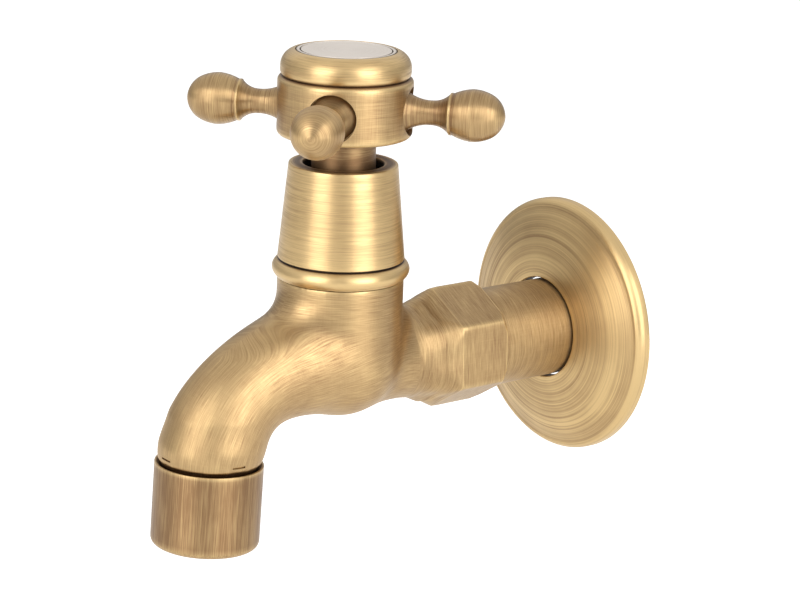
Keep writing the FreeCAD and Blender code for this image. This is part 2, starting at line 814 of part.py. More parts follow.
def make_boss():
    """Sleeve that takes the splined spindle and carries the hub."""
    web = f"{BOSS_TOP} - boss_web"
    sleeve = [
        ("spline_radius + slack", BOSS_BOTTOM),
        ("boss_radius", BOSS_BOTTOM),
        ("boss_radius", BOSS_TOP),
        ("screw_radius + slack", BOSS_TOP),
        ("screw_radius + slack", web),
        ("spline_radius + slack", web),
    ]
    revolve(axis_body("handle_boss", turn="handle_angle"), "sleeve", sleeve)


def make_hub():
    """Drum with a seat for the boss, a well for the screw head and four sockets for the arms."""
    hub = axis_body("handle_hub", turn="handle_angle")
    spigot_bore = "cap_spigot + slack"
    recess = f"{HUB_TOP} - cap_spigot_length - slack"
    drum = [
        ("boss_radius + slack", HUB_BOTTOM),
        ("hub_radius - hub_round", HUB_BOTTOM),
        ("hub_radius", f"{HUB_BOTTOM} + hub_round", "hub_round", LEFT),
        ("hub_radius", f"{HUB_TOP} - hub_round"),
        ("hub_radius - hub_round", HUB_TOP, "hub_round", LEFT),
        (spigot_bore, HUB_TOP),
        (spigot_bore, recess),
        (HEAD_WELL, recess),
        (HEAD_WELL, HUB_WEB_TOP),
        ("screw_radius + slack", HUB_WEB_TOP),
        ("screw_radius + slack", BOSS_TOP),
        ("boss_radius + slack", BOSS_TOP),
    ]
    revolve(hub, "drum", drum)
    socket = [
        ("stud_start - slack", "0"),
        ("hub_radius + 1", "0"),
        ("hub_radius + 1", "root_hole"),
        ("root_start - slack", "root_hole"),
        ("root_start - slack", "stud_radius + slack"),
        ("stud_start - slack", "stud_radius + slack"),
    ]
    cut = revolve(hub, "arm_socket", socket, axis="H_Axis", kind="Groove", height=ARM_HEIGHT)
    ring_of(hub, "arm_sockets", cut, 4)


def make_arms():
    """Four turned arms: stud, flared root, slim neck, ridge and egg-shaped bulb."""
    ridge_out = "ridge_reach + ridge_width"
    bulb_mid = "bulb_reach + 0.62 * (arm_reach - bulb_reach)"
    profile = [
        ("stud_start", "0"),
        ("arm_reach", "0"),
        (bulb_mid, "bulb_radius * 0.8", "bulb_radius * 0.98", LEFT),
        ("bulb_reach", "bulb_radius", "bulb_radius * 1.62", LEFT),
        (ridge_out, "ridge_radius + ridge_rise / 4", "bulb_radius * 2.0", LEFT),
        (ridge_out, "ridge_radius + ridge_rise"),
        ("ridge_reach", "ridge_radius + ridge_rise"),
        ("ridge_reach", "ridge_radius - ridge_rise"),
        ("neck_reach", "neck_radius", "1.3 * (ridge_reach - neck_reach)", RIGHT),
        ("root_start + 1", "root_radius", "1.36 * (neck_reach - root_start - 1)", RIGHT),
        ("root_start", "root_radius"),
        ("root_start", "stud_radius"),
        ("stud_start", "stud_radius"),
    ]
    for place, name in enumerate(("right", "back", "left", "front")):
        arm = axis_body(f"arm_{name}", height=ARM_HEIGHT, turn=f"handle_angle + {90 * place}")
        revolve(arm, "profile", profile, axis="H_Axis")


def make_handle_screw():
    """Cap screw through hub and boss into the spindle, on a plain washer."""
    washer_top = f"{HUB_WEB_TOP} + washer_thickness"
    washer = rectangle("screw_radius + slack", "washer_radius", HUB_WEB_TOP, washer_top)
    revolve(axis_body("screw_washer"), "washer", washer)
    screw = axis_body("handle_screw", turn="handle_angle")
    tip = f"{washer_top} - screw_length"
    corners = [
        ("0", tip),
        ("screw_radius", tip),
        ("screw_radius", washer_top),
        ("screw_head", washer_top),
        ("screw_head", f"{washer_top} + screw_head_height"),
        ("0", f"{washer_top} + screw_head_height"),
    ]
    revolve(screw, "turned", corners)

    def socket(sketch):
        draw_outline(sketch, hexagon("2 * screw_socket"))

    top = {"plane": "XY_Plane", "reach": f"{washer_top} + screw_head_height"}
    pad(screw, "socket", socket, "0.6 * screw_head_height", kind="Pocket", **top)


def make_cap():
    """Ring with a rounded edge on the hub, and the bare index disc set in its top."""
    seat = f"{CAP_TOP} - index_thickness"
    inner = "index_radius + slack"
    ring = [
        ("cap_spigot - 2", f"{HUB_TOP} - cap_spigot_length"),
        ("cap_spigot", f"{HUB_TOP} - cap_spigot_length"),
        ("cap_spigot", HUB_TOP),
        ("cap_radius - cap_seam", HUB_TOP),
        ("cap_radius", f"{HUB_TOP} + 2 * cap_seam", "3 * cap_seam", LEFT),
        ("cap_radius", f"{CAP_TOP} - cap_round"),
        ("groove_outer", CAP_TOP, "cap_round", LEFT),
        ("groove_outer", f"{CAP_TOP} - groove_depth"),
        (inner, f"{CAP_TOP} - groove_depth"),
        (inner, seat),
        ("cap_spigot - 2", seat),
    ]
    revolve(axis_body("cap_ring"), "ring", ring)
    disc = rectangle("0", "index_radius", seat, CAP_TOP)
    revolve(axis_body("index_disc"), "disc", disc)


def check_and_export():
    """Stops on a failed piece, then writes each piece to its own file."""
    doc.recompute()
    failed = [item.Name for item in doc.Objects if {"Invalid", "Error"} & set(item.State)]
    if failed:
        raise RuntimeError(f"failed objects: {failed}")
    os.makedirs("parts", exist_ok=True)
    for body in doc.findObjects("PartDesign::Body"):
        shape = body.Shape
        if shape.isNull() or not shape.isValid() or not shape.Solids:
            raise RuntimeError(f"bad shape: {body.Label}")
        print(f"{body.Label}: {len(shape.Solids)} solid, {shape.Volume:.1f} mm3")
    for body in doc.findObjects("PartDesign::Body"):
        body.Shape.exportStep(f"parts/{body.Label}.step")


make_valve_body()
make_outlet()
make_flange()
make_bonnet()
make_headwork_body()
make_discs()
make_spindle()
make_spindle_parts()
make_boss()
make_hub()
make_arms()
make_handle_screw()
make_cap()
check_and_export()
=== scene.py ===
# %% [markdown]
# # A brushed brass tap with a cross handle
# The tap comes in as a frame: every piece of its construction is already in place and to size.
# This lesson gives each piece that shows the form and the finish of the real one. Most of them
# were turned on a lathe, so a short helper that turns an outline does most of the modelling.
# Sizes are written in millimetres and places are read from the frame, so nothing is fitted by eye.

# %% Load the frame
import json
import math

import bmesh
import bpy
import numpy as np
from mathutils import Matrix, Vector


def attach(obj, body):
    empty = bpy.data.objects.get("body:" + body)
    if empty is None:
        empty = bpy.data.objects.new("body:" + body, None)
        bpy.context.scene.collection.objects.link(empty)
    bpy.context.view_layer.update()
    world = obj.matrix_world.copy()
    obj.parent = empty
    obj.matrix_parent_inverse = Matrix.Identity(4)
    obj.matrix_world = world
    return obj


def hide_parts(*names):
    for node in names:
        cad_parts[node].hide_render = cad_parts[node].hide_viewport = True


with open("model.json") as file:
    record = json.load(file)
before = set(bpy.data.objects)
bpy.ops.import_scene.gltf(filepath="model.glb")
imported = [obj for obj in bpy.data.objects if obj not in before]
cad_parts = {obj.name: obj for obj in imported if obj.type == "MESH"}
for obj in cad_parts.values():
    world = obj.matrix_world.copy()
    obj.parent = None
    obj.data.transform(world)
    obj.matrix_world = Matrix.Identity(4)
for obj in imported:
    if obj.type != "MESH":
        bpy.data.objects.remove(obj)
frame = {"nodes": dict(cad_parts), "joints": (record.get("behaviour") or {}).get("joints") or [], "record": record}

MM = 0.001
nodes = frame["nodes"]
joints = {joint["name"]: joint for joint in frame["joints"]}
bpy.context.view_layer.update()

# %% [markdown]
# ## Axes
# Every turned piece has one axis. The handle, bonnet and cap share the upright valve axis, the
# flange and the inlet share the pipe's axis, and the outlet collar has its own, slightly tilted.
# A matrix per axis lets a piece be drawn upright at the origin and then be laid in its place.

# %% Find the axes
def along(origin, direction):
    """A matrix that lays the Z axis along a direction from an origin."""
    turn = Vector((0, 0, 1)).rotation_difference(Vector(direction))
    return Matrix.Translation(origin) @ turn.to_matrix().to_4x4()


valve_axis = Matrix.Translation(joints["handle_turn"]["pos_m"])
pipe_axis = along((0, 0, 0), (0, -1, 0))
outlet_axis = along(joints["collar_unscrew"]["pos_m"], joints["collar_unscrew"]["axis"])
print("valve axis at", tuple(round(value, 4) for value in valve_axis.translation))

# %% [markdown]
# ## Outlines
# A turned piece is known by half its section: pairs of radius and height. Real edges are never
# sharp, and the small round on an edge is what catches the light, so a corner may carry a
# rounding of its own. Curved parts of an outline are arcs, given by their two ends and a radius.

# %% Draw outlines
def bow(start, stop, radius, count=14):
    """Points of an arc between two points. A negative radius makes a hollow arc."""
    first, last = Vector(start), Vector(stop)
    half = (last - first) / 2
    away = Vector((half.y, -half.x)).normalized() * math.copysign(1, radius)
    depth = math.sqrt(max(radius**2 - half.length_squared, 0.0))
    centre = first + half - away * depth
    sweep = (first - centre).angle_signed(last - centre)
    points = [start]
    for step in range(1, count):
        turn = Matrix.Rotation(-sweep * (step / count), 2)
        points.append(tuple(centre + turn @ (first - centre)))
    return points + [stop]


def softened(corners, count=6, share=0.48):
    """Replaces each corner that carries a rounding, its third value, by a short arc.

    An arc takes up no more than a share of each edge, so that two of them never meet.
    """
    points = []
    for index, corner in enumerate(corners):
        here = Vector(corner[:2])
        if len(corner) < 3:
            points.append(here)
            continue
        back = Vector(corners[index - 1][:2]) - here
        ahead = Vector(corners[(index + 1) % len(corners)][:2]) - here
        half = back.angle(ahead) / 2
        reach = min(corner[2] / math.tan(half), share * back.length, share * ahead.length)
        start, stop = here + back.normalized() * reach, here + ahead.normalized() * reach
        middle = (back.normalized() + ahead.normalized()).normalized()
        centre = here + middle * reach / math.cos(half)
        for step in range(count):
            spoke = (start - centre).lerp(stop - centre, step / (count - 1)).normalized()
            points.append(centre + spoke * reach * math.tan(half))
    return points


def refined(points, closed, step):
    """Divides long stretches, so that every attribute has points to live on."""
    result = []
    ends = points[1:] + points[:1] if closed else points[1:]
    for here, there in zip(points, ends):
        count = max(1, math.ceil((there - here).length / step))
        result += [here.lerp(there, part / count) for part in range(count)]
    return np.array(result if closed else result + [points[-1]])


# %% [markdown]
# ## The lathe
# The outline is turned about an axis by arithmetic on whole arrays: rows are outline points and
# columns are steps round the axis. Three attributes are stored on the way. *grain* is a place in
# millimetres, round the axis and along the outline, in which brush lines are straight. *flow*
# points across the brush lines, where a brushed highlight is stretched. *wear_and_shade* is high on
# outer edges and low in inner corners, from the way that the outline bends. It carries painted shade
# as well: at named places it is pushed far below zero, which paints the seams between two pieces
# and other recesses near black as shade.

# %% Turn an outline
def outline_wear(points, closed, width=0.5):
    """How much the outline bends near each point: outer edges above zero, inner corners below."""
    before, after = np.roll(points, 1, 0), np.roll(points, -1, 0)
    into, out = points - before, after - points
    bend = np.arctan2(into[:, 0] * out[:, 1] - into[:, 1] * out[:, 0], (into * out).sum(1))
    if not closed:
        bend[0] = bend[-1] = 0
    apart = np.linalg.norm(points[:, None] - points[None], axis=2)
    return np.clip((bend[None] * np.exp(-((apart / width) ** 2))).sum(1), -1, 1)


def add_attribute(mesh, name, kind, values):
    """Stores one value or vector on each point of a mesh."""
    layer = mesh.attributes.new(name, kind, "POINT")
    key = "value" if kind == "FLOAT" else "vector"
    layer.data.foreach_set(key, np.ascontiguousarray(values, dtype=np.float32).ravel())


def grid_faces(rows, steps, closed):
    """Quads between neighbouring rows and columns. The columns close round the axis."""
    row = np.arange(rows if closed else rows - 1)[:, None]
    column = np.arange(steps)[None]
    above, beside = (row + 1) % rows, (column + 1) % steps
    low, high = row * steps, above * steps
    return np.stack([low + column, low + beside, high + beside, high + column], -1).reshape(-1, 4)


def turned(name, corners, axis, steps=160, step=0.8, shape=None, painted_shade=()):
    """A mesh made by turning an outline of (radius, height) in millimetres about an axis.

    Steps is the number of columns round the axis, and step the longest stretch between rows.
    Shape is a rule that changes the radius. Painted shade is a list of places on the outline, as
    radius, height, reach and amount, which are painted dark as shade.
    """
    closed = corners[0][0] > 0 or corners[-1][0] > 0
    points = refined(softened(corners), closed, step)
    rows = len(points)
    angle = np.linspace(0, 2 * math.pi, steps, endpoint=False)[None]
    radius, height = points[:, :1].repeat(steps, 1), points[:, 1:].repeat(steps, 1)
    if shape:
        radius = shape(radius, height, angle)
    ahead = np.gradient(points, axis=0)
    ahead /= np.maximum(np.linalg.norm(ahead, axis=1, keepdims=True), 1e-9)
    path = np.concatenate([[0], np.cumsum(np.linalg.norm(np.diff(points, axis=0), axis=1))])
    cosine, sine = np.cos(angle), np.sin(angle)
    places = np.stack([radius * cosine, radius * sine, height], -1).reshape(-1, 3)
    outward, upward = ahead[:, :1], ahead[:, 1:].repeat(steps, 1)
    flow = np.stack([outward * cosine, outward * sine, upward], -1).reshape(-1, 3)
    spin = np.array(axis.to_3x3())
    mesh = bpy.data.meshes.new(name)
    faces = grid_faces(rows, steps, closed)
    mesh.from_pydata(places @ spin.T * MM + np.array(axis.translation), [], faces.tolist())
    grain = np.concatenate([places[:, :2], path.repeat(steps)[:, None]], 1)
    add_attribute(mesh, "grain", "FLOAT_VECTOR", grain)
    add_attribute(mesh, "flow", "FLOAT_VECTOR", flow @ spin.T)
    worn_and_shaded = outline_wear(points, closed)
    # Painted shade: the attribute is lowered round each named place, which darkens it as shade.
    for out, up, reach, amount in painted_shade:
        apart = np.abs(path - path[np.hypot(points[:, 0] - out, points[:, 1] - up).argmin()])
        worn_and_shaded -= amount * np.exp(-((np.minimum(apart, path[-1] - apart) / reach) ** 2))
    add_attribute(mesh, "wear_and_shade", "FLOAT", worn_and_shaded.repeat(steps))
    lay_uv(mesh, faces, rows, steps, path)
    return closed_up(mesh)


def lay_uv(mesh, faces, rows, steps, path):
    """A UV map with u round the axis and v along the outline."""
    column, row = faces % steps, faces // steps
    column = np.where(column < column[:, :1], steps, column)
    row = np.where(row < row[:, :1], rows, row)
    length = np.append(path, path[-1] + 1) / (path[-1] + 1)
    layer = mesh.uv_layers.new(name="round")
    layer.data.foreach_set("uv", np.stack([column / steps, length[row]], -1).astype(np.float32).ravel())


def closed_up(mesh, sharp=38):
    """Merges the poles, points the faces outwards and shades smooth with crisp edges."""
    work = bmesh.new()
    work.from_mesh(mesh)
    bmesh.ops.remove_doubles(work, verts=work.verts, dist=1e-7)
    bmesh.ops.recalc_face_normals(work, faces=work.faces)
    work.to_mesh(mesh)
    work.free()
    mesh.shade_smooth()
    mesh.set_sharp_from_angle(angle=math.radians(sharp))
    return mesh


def new_object(name, data):
    """A new object in the scene, at the origin."""
    made = bpy.data.objects.new(name, data)
    bpy.context.scene.collection.objects.link(made)
    return made


def place_piece(mesh, material, body, replaced):
    """Puts a finished mesh in the scene, where it stands for the nodes that it replaces."""
    piece = new_object(mesh.name, mesh)
    mesh.materials.clear()
    mesh.materials.append(material)
    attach(piece, body)
    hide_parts(*replaced)
    print(f"{piece.name}: {sum(len(face.vertices) - 2 for face in mesh.polygons)} triangles")


# %% [markdown]
# ## Materials
# Old brass shows three things at once: a gold metal where hands and cloth polish it, a brown
# layer that stays in corners and between strokes, and fine lines from the brush. One recipe reads
# the three attributes and makes every brass finish from them. A thin clear lacquer on top gives
# the soft white sheen that such taps have, and keeps the metal from looking like raw gold.

# %% A short way to write shader nodes
def add_node(tree, kind, inputs=None, **settings):
    """Adds a node. A value in inputs is either a number or the socket that feeds it."""
    made = tree.nodes.new(kind)
    for key, value in settings.items():
        setattr(made, key, value)
    for key, value in (inputs or {}).items():
        if isinstance(value, bpy.types.NodeSocket):
            tree.links.new(value, made.inputs[key])
        else:
            made.inputs[key].default_value = value
    return made


def math_node(tree, operation, first, second=0.0, clamp=False):
    """One step of arithmetic on two values."""
    inputs = {0: first, 1: second}
    return add_node(tree, "ShaderNodeMath", inputs, operation=operation, use_clamp=clamp).outputs[0]


def blend_colours(tree, share, first, second):
    """The first colour where the share is zero, and the second where it is one."""
    colour_a, colour_b, colour_result = 6, 7, 2
    mixed = add_node(tree, "ShaderNodeMix", {0: share}, data_type="RGBA")
    for index, value in ((colour_a, first), (colour_b, second)):
        if isinstance(value, bpy.types.NodeSocket):
            tree.links.new(value, mixed.inputs[index])
        else:
            mixed.inputs[index].default_value = (*value, 1)
    return mixed.outputs[colour_result]


def spread(tree, value, low, high, to_low=0.0, to_high=1.0):
    """Stretches a value from one range to another and clamps it."""
    inputs = {0: value, 1: low, 2: high, 3: to_low, 4: to_high}
    return add_node(tree, "ShaderNodeMapRange", inputs).outputs[0]


def new_material(name):
    """An empty material and its node tree."""
    made = bpy.data.materials.new(name)
    made.use_nodes = True
    made.node_tree.nodes.clear()
    return made, made.node_tree


def noise(tree, place, scale=1.0, detail=2.0, roughness=0.55):
    """Soft random values between zero and one."""
    inputs = {"Vector": place, "Scale": scale, "Detail": detail, "Roughness": roughness}
    return add_node(tree, "ShaderNodeTexNoise", inputs).outputs[0]


def stretched(tree, place, scale):
    """A place with each of its directions scaled by its own amount."""
    inputs = {0: place, 1: scale}
    return add_node(tree, "ShaderNodeVectorMath", inputs, operation="MULTIPLY").outputs[0]


# %% [markdown]
# Brush strokes are noise that is stretched: a noise shrunk in two directions and left long in the
# third draws lines. Two such noises, one fine and one broad, are added to a cloudy one and to the
# wear, and the sum says how much of the brown layer is left at each point. Where the wear and shade
# attribute falls far below zero, a near-black painted shade takes over the colour, in seams and
# recesses. The fine noise also moves the gloss and a shallow bump. The highlight of brushed metal is
# drawn out across the lines, which the shader calls anisotropic, and the flow gives its direction.

# %% The recipe for brushed brass
GOLD = (0.63, 0.45, 0.215)
BROWN = (0.24, 0.138, 0.064)
# This near-black colour is painted shade for seams and recesses.
PAINTED_SHADE_COLOUR = (0.030, 0.019, 0.011)
BROAD_STROKES = 3  # how much longer a broad band is than a fine stroke
CLOUDS = 90.0  # a cloud is about 11 mm wide
FINE_SHARE, CLOUD_SHARE, WEAR_SHARE = 0.9, 0.4, -0.5
GOLD_AT, BROWN_AT = -0.2, 0.5
# Between these two attribute values the colour turns to the painted shade.
PAINTED_SHADE_FROM, PAINTED_SHADE_FULL = -0.9, -1.9
STROKE_DEPTH = 0.04 * MM


def brushed_brass(name, gold=GOLD, brown=BROWN, patina=0.0, stroke=6.0, width=0.2, bands=0.35,
                  band_width=0.6, lengthwise=False, rough=(0.32, 0.46), cross=0.0, detail=3.0,
                  stretch=0.55):
    """Brass with brush strokes of a length and width in millimetres and a brown layer in its lows.

    Patina sets how much brown there is, bands the contrast of broad bands, cross the share of
    slanted strokes, rough the range of the gloss, and stretch how far a highlight is drawn out.
    """
    material, tree = new_material(name)
    grain = add_node(tree, "ShaderNodeAttribute", attribute_name="grain").outputs["Vector"]
    flow = add_node(tree, "ShaderNodeAttribute", attribute_name="flow").outputs["Vector"]
    wear_and_shade = add_node(tree, "ShaderNodeAttribute", attribute_name="wear_and_shade").outputs["Fac"]
    place = add_node(tree, "ShaderNodeTexCoord").outputs["Object"]

    def strokes(length, fine, detail):
        scale = (1 / fine, 1 / fine, 1 / length) if lengthwise else (1 / length, 1 / length, 1 / fine)
        return noise(tree, stretched(tree, grain, scale), 1.0, detail, 0.6)

    fine = strokes(stroke, width, detail)
    broad = strokes(stroke * BROAD_STROKES, band_width, detail)
    cloud = noise(tree, place, CLOUDS, 3.0)
    if cross:
        slanted = noise(tree, stretched(tree, grain, (1 / width, 1 / width, 0.2)), 0.8, 2.0)
        fine = math_node(tree, "ADD", math_node(tree, "MULTIPLY", fine, 1 - cross),
                         math_node(tree, "MULTIPLY", slanted, cross))
    # Noise counts from its middle value, one half, and the wear and painted shade attribute from zero.
    total = patina
    for part, weight in ((broad, bands), (fine, FINE_SHARE), (cloud, CLOUD_SHARE), (wear_and_shade, WEAR_SHARE)):
        middle = 0.0 if part is wear_and_shade else 0.5
        level = math_node(tree, "MULTIPLY", math_node(tree, "SUBTRACT", part, middle), weight)
        total = math_node(tree, "ADD", level, total)
    share = spread(tree, total, GOLD_AT, BROWN_AT)
    # Painted shade: near black where the attribute falls far below zero, in seams and recesses.
    painted_shade = spread(tree, wear_and_shade, PAINTED_SHADE_FROM, PAINTED_SHADE_FULL)
    colour = blend_colours(tree, painted_shade, blend_colours(tree, share, gold, brown), PAINTED_SHADE_COLOUR)
    roughness = math_node(tree, "ADD", spread(tree, fine, 0.25, 0.75, *rough),
                          math_node(tree, "MULTIPLY", share, 0.10))
    furrows = {"Strength": 0.22, "Distance": STROKE_DEPTH, "Height": fine}
    bump = add_node(tree, "ShaderNodeBump", furrows).outputs[0]
    world_flow = add_node(tree, "ShaderNodeVectorTransform", {0: flow}, vector_type="VECTOR",
                          convert_from="OBJECT", convert_to="WORLD").outputs[0]
    metal = add_node(tree, "ShaderNodeBsdfPrincipled", {
        "Base Color": colour, "Metallic": 1.0, "Roughness": roughness, "Normal": bump,
        "Anisotropic": stretch, "Tangent": world_flow,
        "Coat Weight": 0.2, "Coat Roughness": 0.42, "Coat IOR": 1.5,
    })
    add_node(tree, "ShaderNodeOutputMaterial", {"Surface": metal.outputs[0]})
    return material


bonnet_brass = brushed_brass("bonnet_brass", patina=-0.06, stroke=9.0, bands=0.25)
hub_brass = brushed_brass("hub_brass", patina=0.2, width=0.16, cross=0.4)
arm_brass = brushed_brass("arm_brass", patina=0.26, width=0.16, rough=(0.28, 0.42), stretch=0.75)
cap_brass = brushed_brass("cap_brass", patina=0.04)
spout_brass = brushed_brass("spout_brass", patina=0.2, stroke=4.5, bands=0.16, cross=0.12)
flange_brass = brushed_brass("flange_brass", patina=0.02, stroke=40.0, width=0.3, bands=0.95,
                             band_width=1.5, detail=2.0)
collar_brass = brushed_brass("collar_brass", patina=0.42, lengthwise=True, stroke=9.0, bands=0.4)
boss_brass = brushed_brass("boss_brass", patina=0.38)
disc_brass = brushed_brass("disc_brass", gold=(0.74, 0.68, 0.62), brown=(0.64, 0.57, 0.50),
                           patina=-0.1, rough=(0.46, 0.54), stretch=0.1)
print("brass finishes made")

# %% [markdown]
# ## Bonnet
# A brass cone with a rounded bead at its foot. It is turned from one piece, and the fine groove
# above the bead is painted dark as shade. Only the outline differs from the other turned pieces.

# %% Turn the bonnet
bead = bow((14.25, 20.9), (15.1, 22.65), 2.35, 8) + bow((15.1, 22.65), (13.75, 24.5), 2.35, 10)[1:]
bonnet_outline = [
    (12.4, 20.7), (14.15, 20.7, 0.1), *bead,
    (13.6, 24.62), (13.6, 24.85), (13.93, 24.95, 0.15),
    (11.9, 45.9, 0.35), (8.88, 45.9, 0.25), (8.88, 43.9), (10.5, 43.9),
    (11.5, 34.0), (8.8, 34.0), (8.8, 31.0), (11.8, 31.0), (12.4, 24.6),
]
# Painted shade in the groove above the bead, on the top round the bore, down the bore and under the foot.
bonnet_painted_shade = [
    (13.75, 24.72, 0.3, 1.6), (10.4, 45.9, 1.3, 1.0), (8.88, 43.9, 2.2, 3.0), (13.6, 20.7, 0.6, 2.0),
]
bonnet = turned("bonnet_shell", bonnet_outline, valve_axis, step=0.7, painted_shade=bonnet_painted_shade)
place_piece(bonnet, bonnet_brass, "valve", ["bonnet"])

# %% [markdown]
# ## Wall flange
# A thin domed dish that hides the hole in the wall. It is spun from sheet and brushed on the
# spindle, so its lines are rings. Its rim turns down to the wall over a broad rounded brow.

# %% Turn the flange
brow = bow((29.7, 1.4), (27.8, 3.3), 1.95, 10)
face = bow((27.8, 3.3), (11.95, 7.66), 42.0, 24)
back = bow((12.6, 6.4), (28.35, 1.4), -40.7, 20)
lip = [(11.72, 7.66, 0.3), (11.72, 4.4, 0.2), (12.5, 4.4, 0.2), (12.6, 6.4)]
flange_outline = [(28.4, 0.0), (29.7, 0.0, 0.2), *brow, *face[1:-1], *lip, *back[1:]]
# Painted shade on the wall of the bore's lip, so that the gap round the pipe looks dark.
flange_painted_shade = [(11.72, 5.4, 1.7, 4.0)]
flange = turned("flange_dish", flange_outline, pipe_axis, steps=200, painted_shade=flange_painted_shade)
place_piece(flange, flange_brass, "flange", ["wall_flange"])

# %% [markdown]
# ## Outlet collar
# The screwed collar holds the flow straightener. It was brushed along its length and is browner
# than the rest. Its upper edge is thin, and the gap between it and the spout is painted dark as shade.

# %% Turn the collar
collar_outline = [
    (10.52, 0.9), (11.42, 0.0, 0.08), (11.82, 0.0, 0.12),
    *bow((11.82, 16.9), (10.32, 18.4), 1.5, 8), (8.72, 18.4, 0.2), (8.72, 16.9), (10.52, 16.9),
]
# Painted shade on the inner wall below the upper edge, where the spout goes in, and round the outlet.
collar_painted_shade = [(10.52, 2.4, 1.4, 3.0), (9.5, 18.4, 1.2, 1.5)]
collar = turned("collar_sleeve", collar_outline, outlet_axis, steps=180, painted_shade=collar_painted_shade)
place_piece(collar, collar_brass, "collar", ["outlet_collar"])

# %% [markdown]
# ## Cap, index disc and boss
# The cap ring has a rounded shoulder and a narrow seam against the hub. A bare satin disc sits in
# its top, with a fine groove turned near its edge; seam and groove are painted dark as shade. The
# boss comes down from the hub into the bonnet and is dark: a brown patina, with painted shade where
# it goes into the bonnet.

# %% Turn the cap, the disc and the boss
cap_outline = [
    (6.4, 61.8), (8.4, 61.8), (8.4, 65.0), (13.65, 65.0, 0.1),
    *bow((13.7, 65.1), (14.15, 66.0), 1.5, 5), *bow((14.15, 67.0), (11.15, 70.58), 3.6, 16),
    (10.98, 70.58, 0.12), (10.98, 69.8), (9.97, 69.8), (9.97, 69.1), (6.4, 69.1),
]
# Painted shade in the seam against the hub and round the disc's edge.
cap_painted_shade = [(13.3, 65.0, 0.5, 2.6), (10.9, 69.9, 0.5, 2.6)]
cap = turned("cap_shoulder_ring", cap_outline, valve_axis, painted_shade=cap_painted_shade)
place_piece(cap, cap_brass, "handle", ["cap_ring"])
disc_outline = [
    (0, 69.1), (9.92, 69.1), (9.92, 69.85), (10.84, 69.85), (10.84, 70.56, 0.1), (10.08, 70.56, 0.06),
    (10.02, 70.2), (9.82, 70.2), (9.76, 70.58, 0.06), (0, 70.6),
]
# Painted shade in the fine groove and at the step round the disc's edge.
disc_painted_shade = [(9.92, 70.2, 0.32, 3.5), (10.84, 70.2, 0.4, 3.0)]
disc = turned("satin_disc", disc_outline, valve_axis, painted_shade=disc_painted_shade)
place_piece(disc, disc_brass, "handle", ["index_disc"])
boss_outline = [
    (3.95, 38.5), (7.0, 38.5, 0.3), (7.0, 55.0, 0.1), (2.5, 55.0), (2.5, 53.0), (3.95, 53.0),
]
# Painted shade down the boss inside the bonnet and at its top under the hub.
boss_painted_shade = [(7.0, 41.0, 4.2, 2.6), (7.0, 52.0, 0.7, 1.5)]
boss = turned("boss_sleeve", boss_outline, valve_axis, steps=120, painted_shade=boss_painted_shade)
place_piece(boss, boss_brass, "handle", ["handle_boss"])

# %% [markdown]
# ## Hub
# The hub is a drum with four sockets. The drum is turned, and a boolean cuts the sockets with one
# turned cutter per arm. After a boolean the attributes of the drum are still there.

# %% Turn the hub and cut its sockets
ARM_COUNT = 4
ARM_HEIGHT = 58.1
FIRST_ARM = math.radians(42)


def arm_axis(place):
    """The axis of one arm, from the handle's axis outwards."""
    angle = FIRST_ARM + place * 2 * math.pi / ARM_COUNT
    origin = valve_axis.translation + Vector((0, 0, ARM_HEIGHT * MM))
    return along(origin, (math.cos(angle), math.sin(angle), 0))


def settled(holder, *others):
    """An object's mesh with its modifiers applied. The objects named are removed."""
    view = bpy.context.evaluated_depsgraph_get()
    result = bpy.data.meshes.new_from_object(holder.evaluated_get(view))
    for item in (holder, *others):
        bpy.data.objects.remove(item)
    return result


def cut(mesh, cutters):
    """Cuts meshes out of a mesh, one after the other."""
    body = new_object("cut_body", mesh)
    tools = []
    for cutter in cutters:
        tool = new_object("cut_tool", cutter)
        modifier = body.modifiers.new("cut", "BOOLEAN")
        modifier.object = tool
        modifier.operation = "DIFFERENCE"
        modifier.solver = "EXACT"
        tools.append(tool)
    result = settled(body, *tools)
    result.name = mesh.name
    return result


drum_outline = [
    (7.05, 52.0), (14.7, 52.0, 1.2), (14.7, 65.0, 1.2), (8.45, 65.0, 0.1), (8.45, 61.75), (5.2, 61.75),
    (5.2, 57.5), (2.5, 57.5), (2.5, 55.0), (7.05, 55.0),
]
# Painted shade in the seam under the cap and on the underside round the boss.
hub_painted_shade = [(13.9, 65.0, 0.5, 2.2), (9.5, 52.0, 2.5, 2.0)]
drum = turned("hub_drum", drum_outline, valve_axis, steps=180, painted_shade=hub_painted_shade)
socket_outline = [(0, 6.35), (2.45, 6.35), (2.45, 11.65), (5.3, 11.65), (5.3, 16.0), (0, 16.0)]
# Painted shade inside each socket; the cut leaves it on the socket walls.
socket_painted_shade = [(5.3, 14.0, 2.5, 3.0)]
sockets = [turned("socket_tool", socket_outline, arm_axis(place), steps=72, painted_shade=socket_painted_shade)
           for place in range(ARM_COUNT)]
drum = closed_up(cut(drum, sockets))
drum.name = "drum_hub"
place_piece(drum, hub_brass, "handle", ["handle_hub"])

# %% [markdown]
# ## Arms
# Four equal arms stand round the hub, so one is turned and Geometry Nodes repeats it. The tree
# takes the arm, the count and the first angle as inputs, puts one copy on each point and turns
# it by its index. Repeating keeps the grain of the first arm, so the pattern of each copy is
# shifted afterwards, and the flow is turned with its arm.

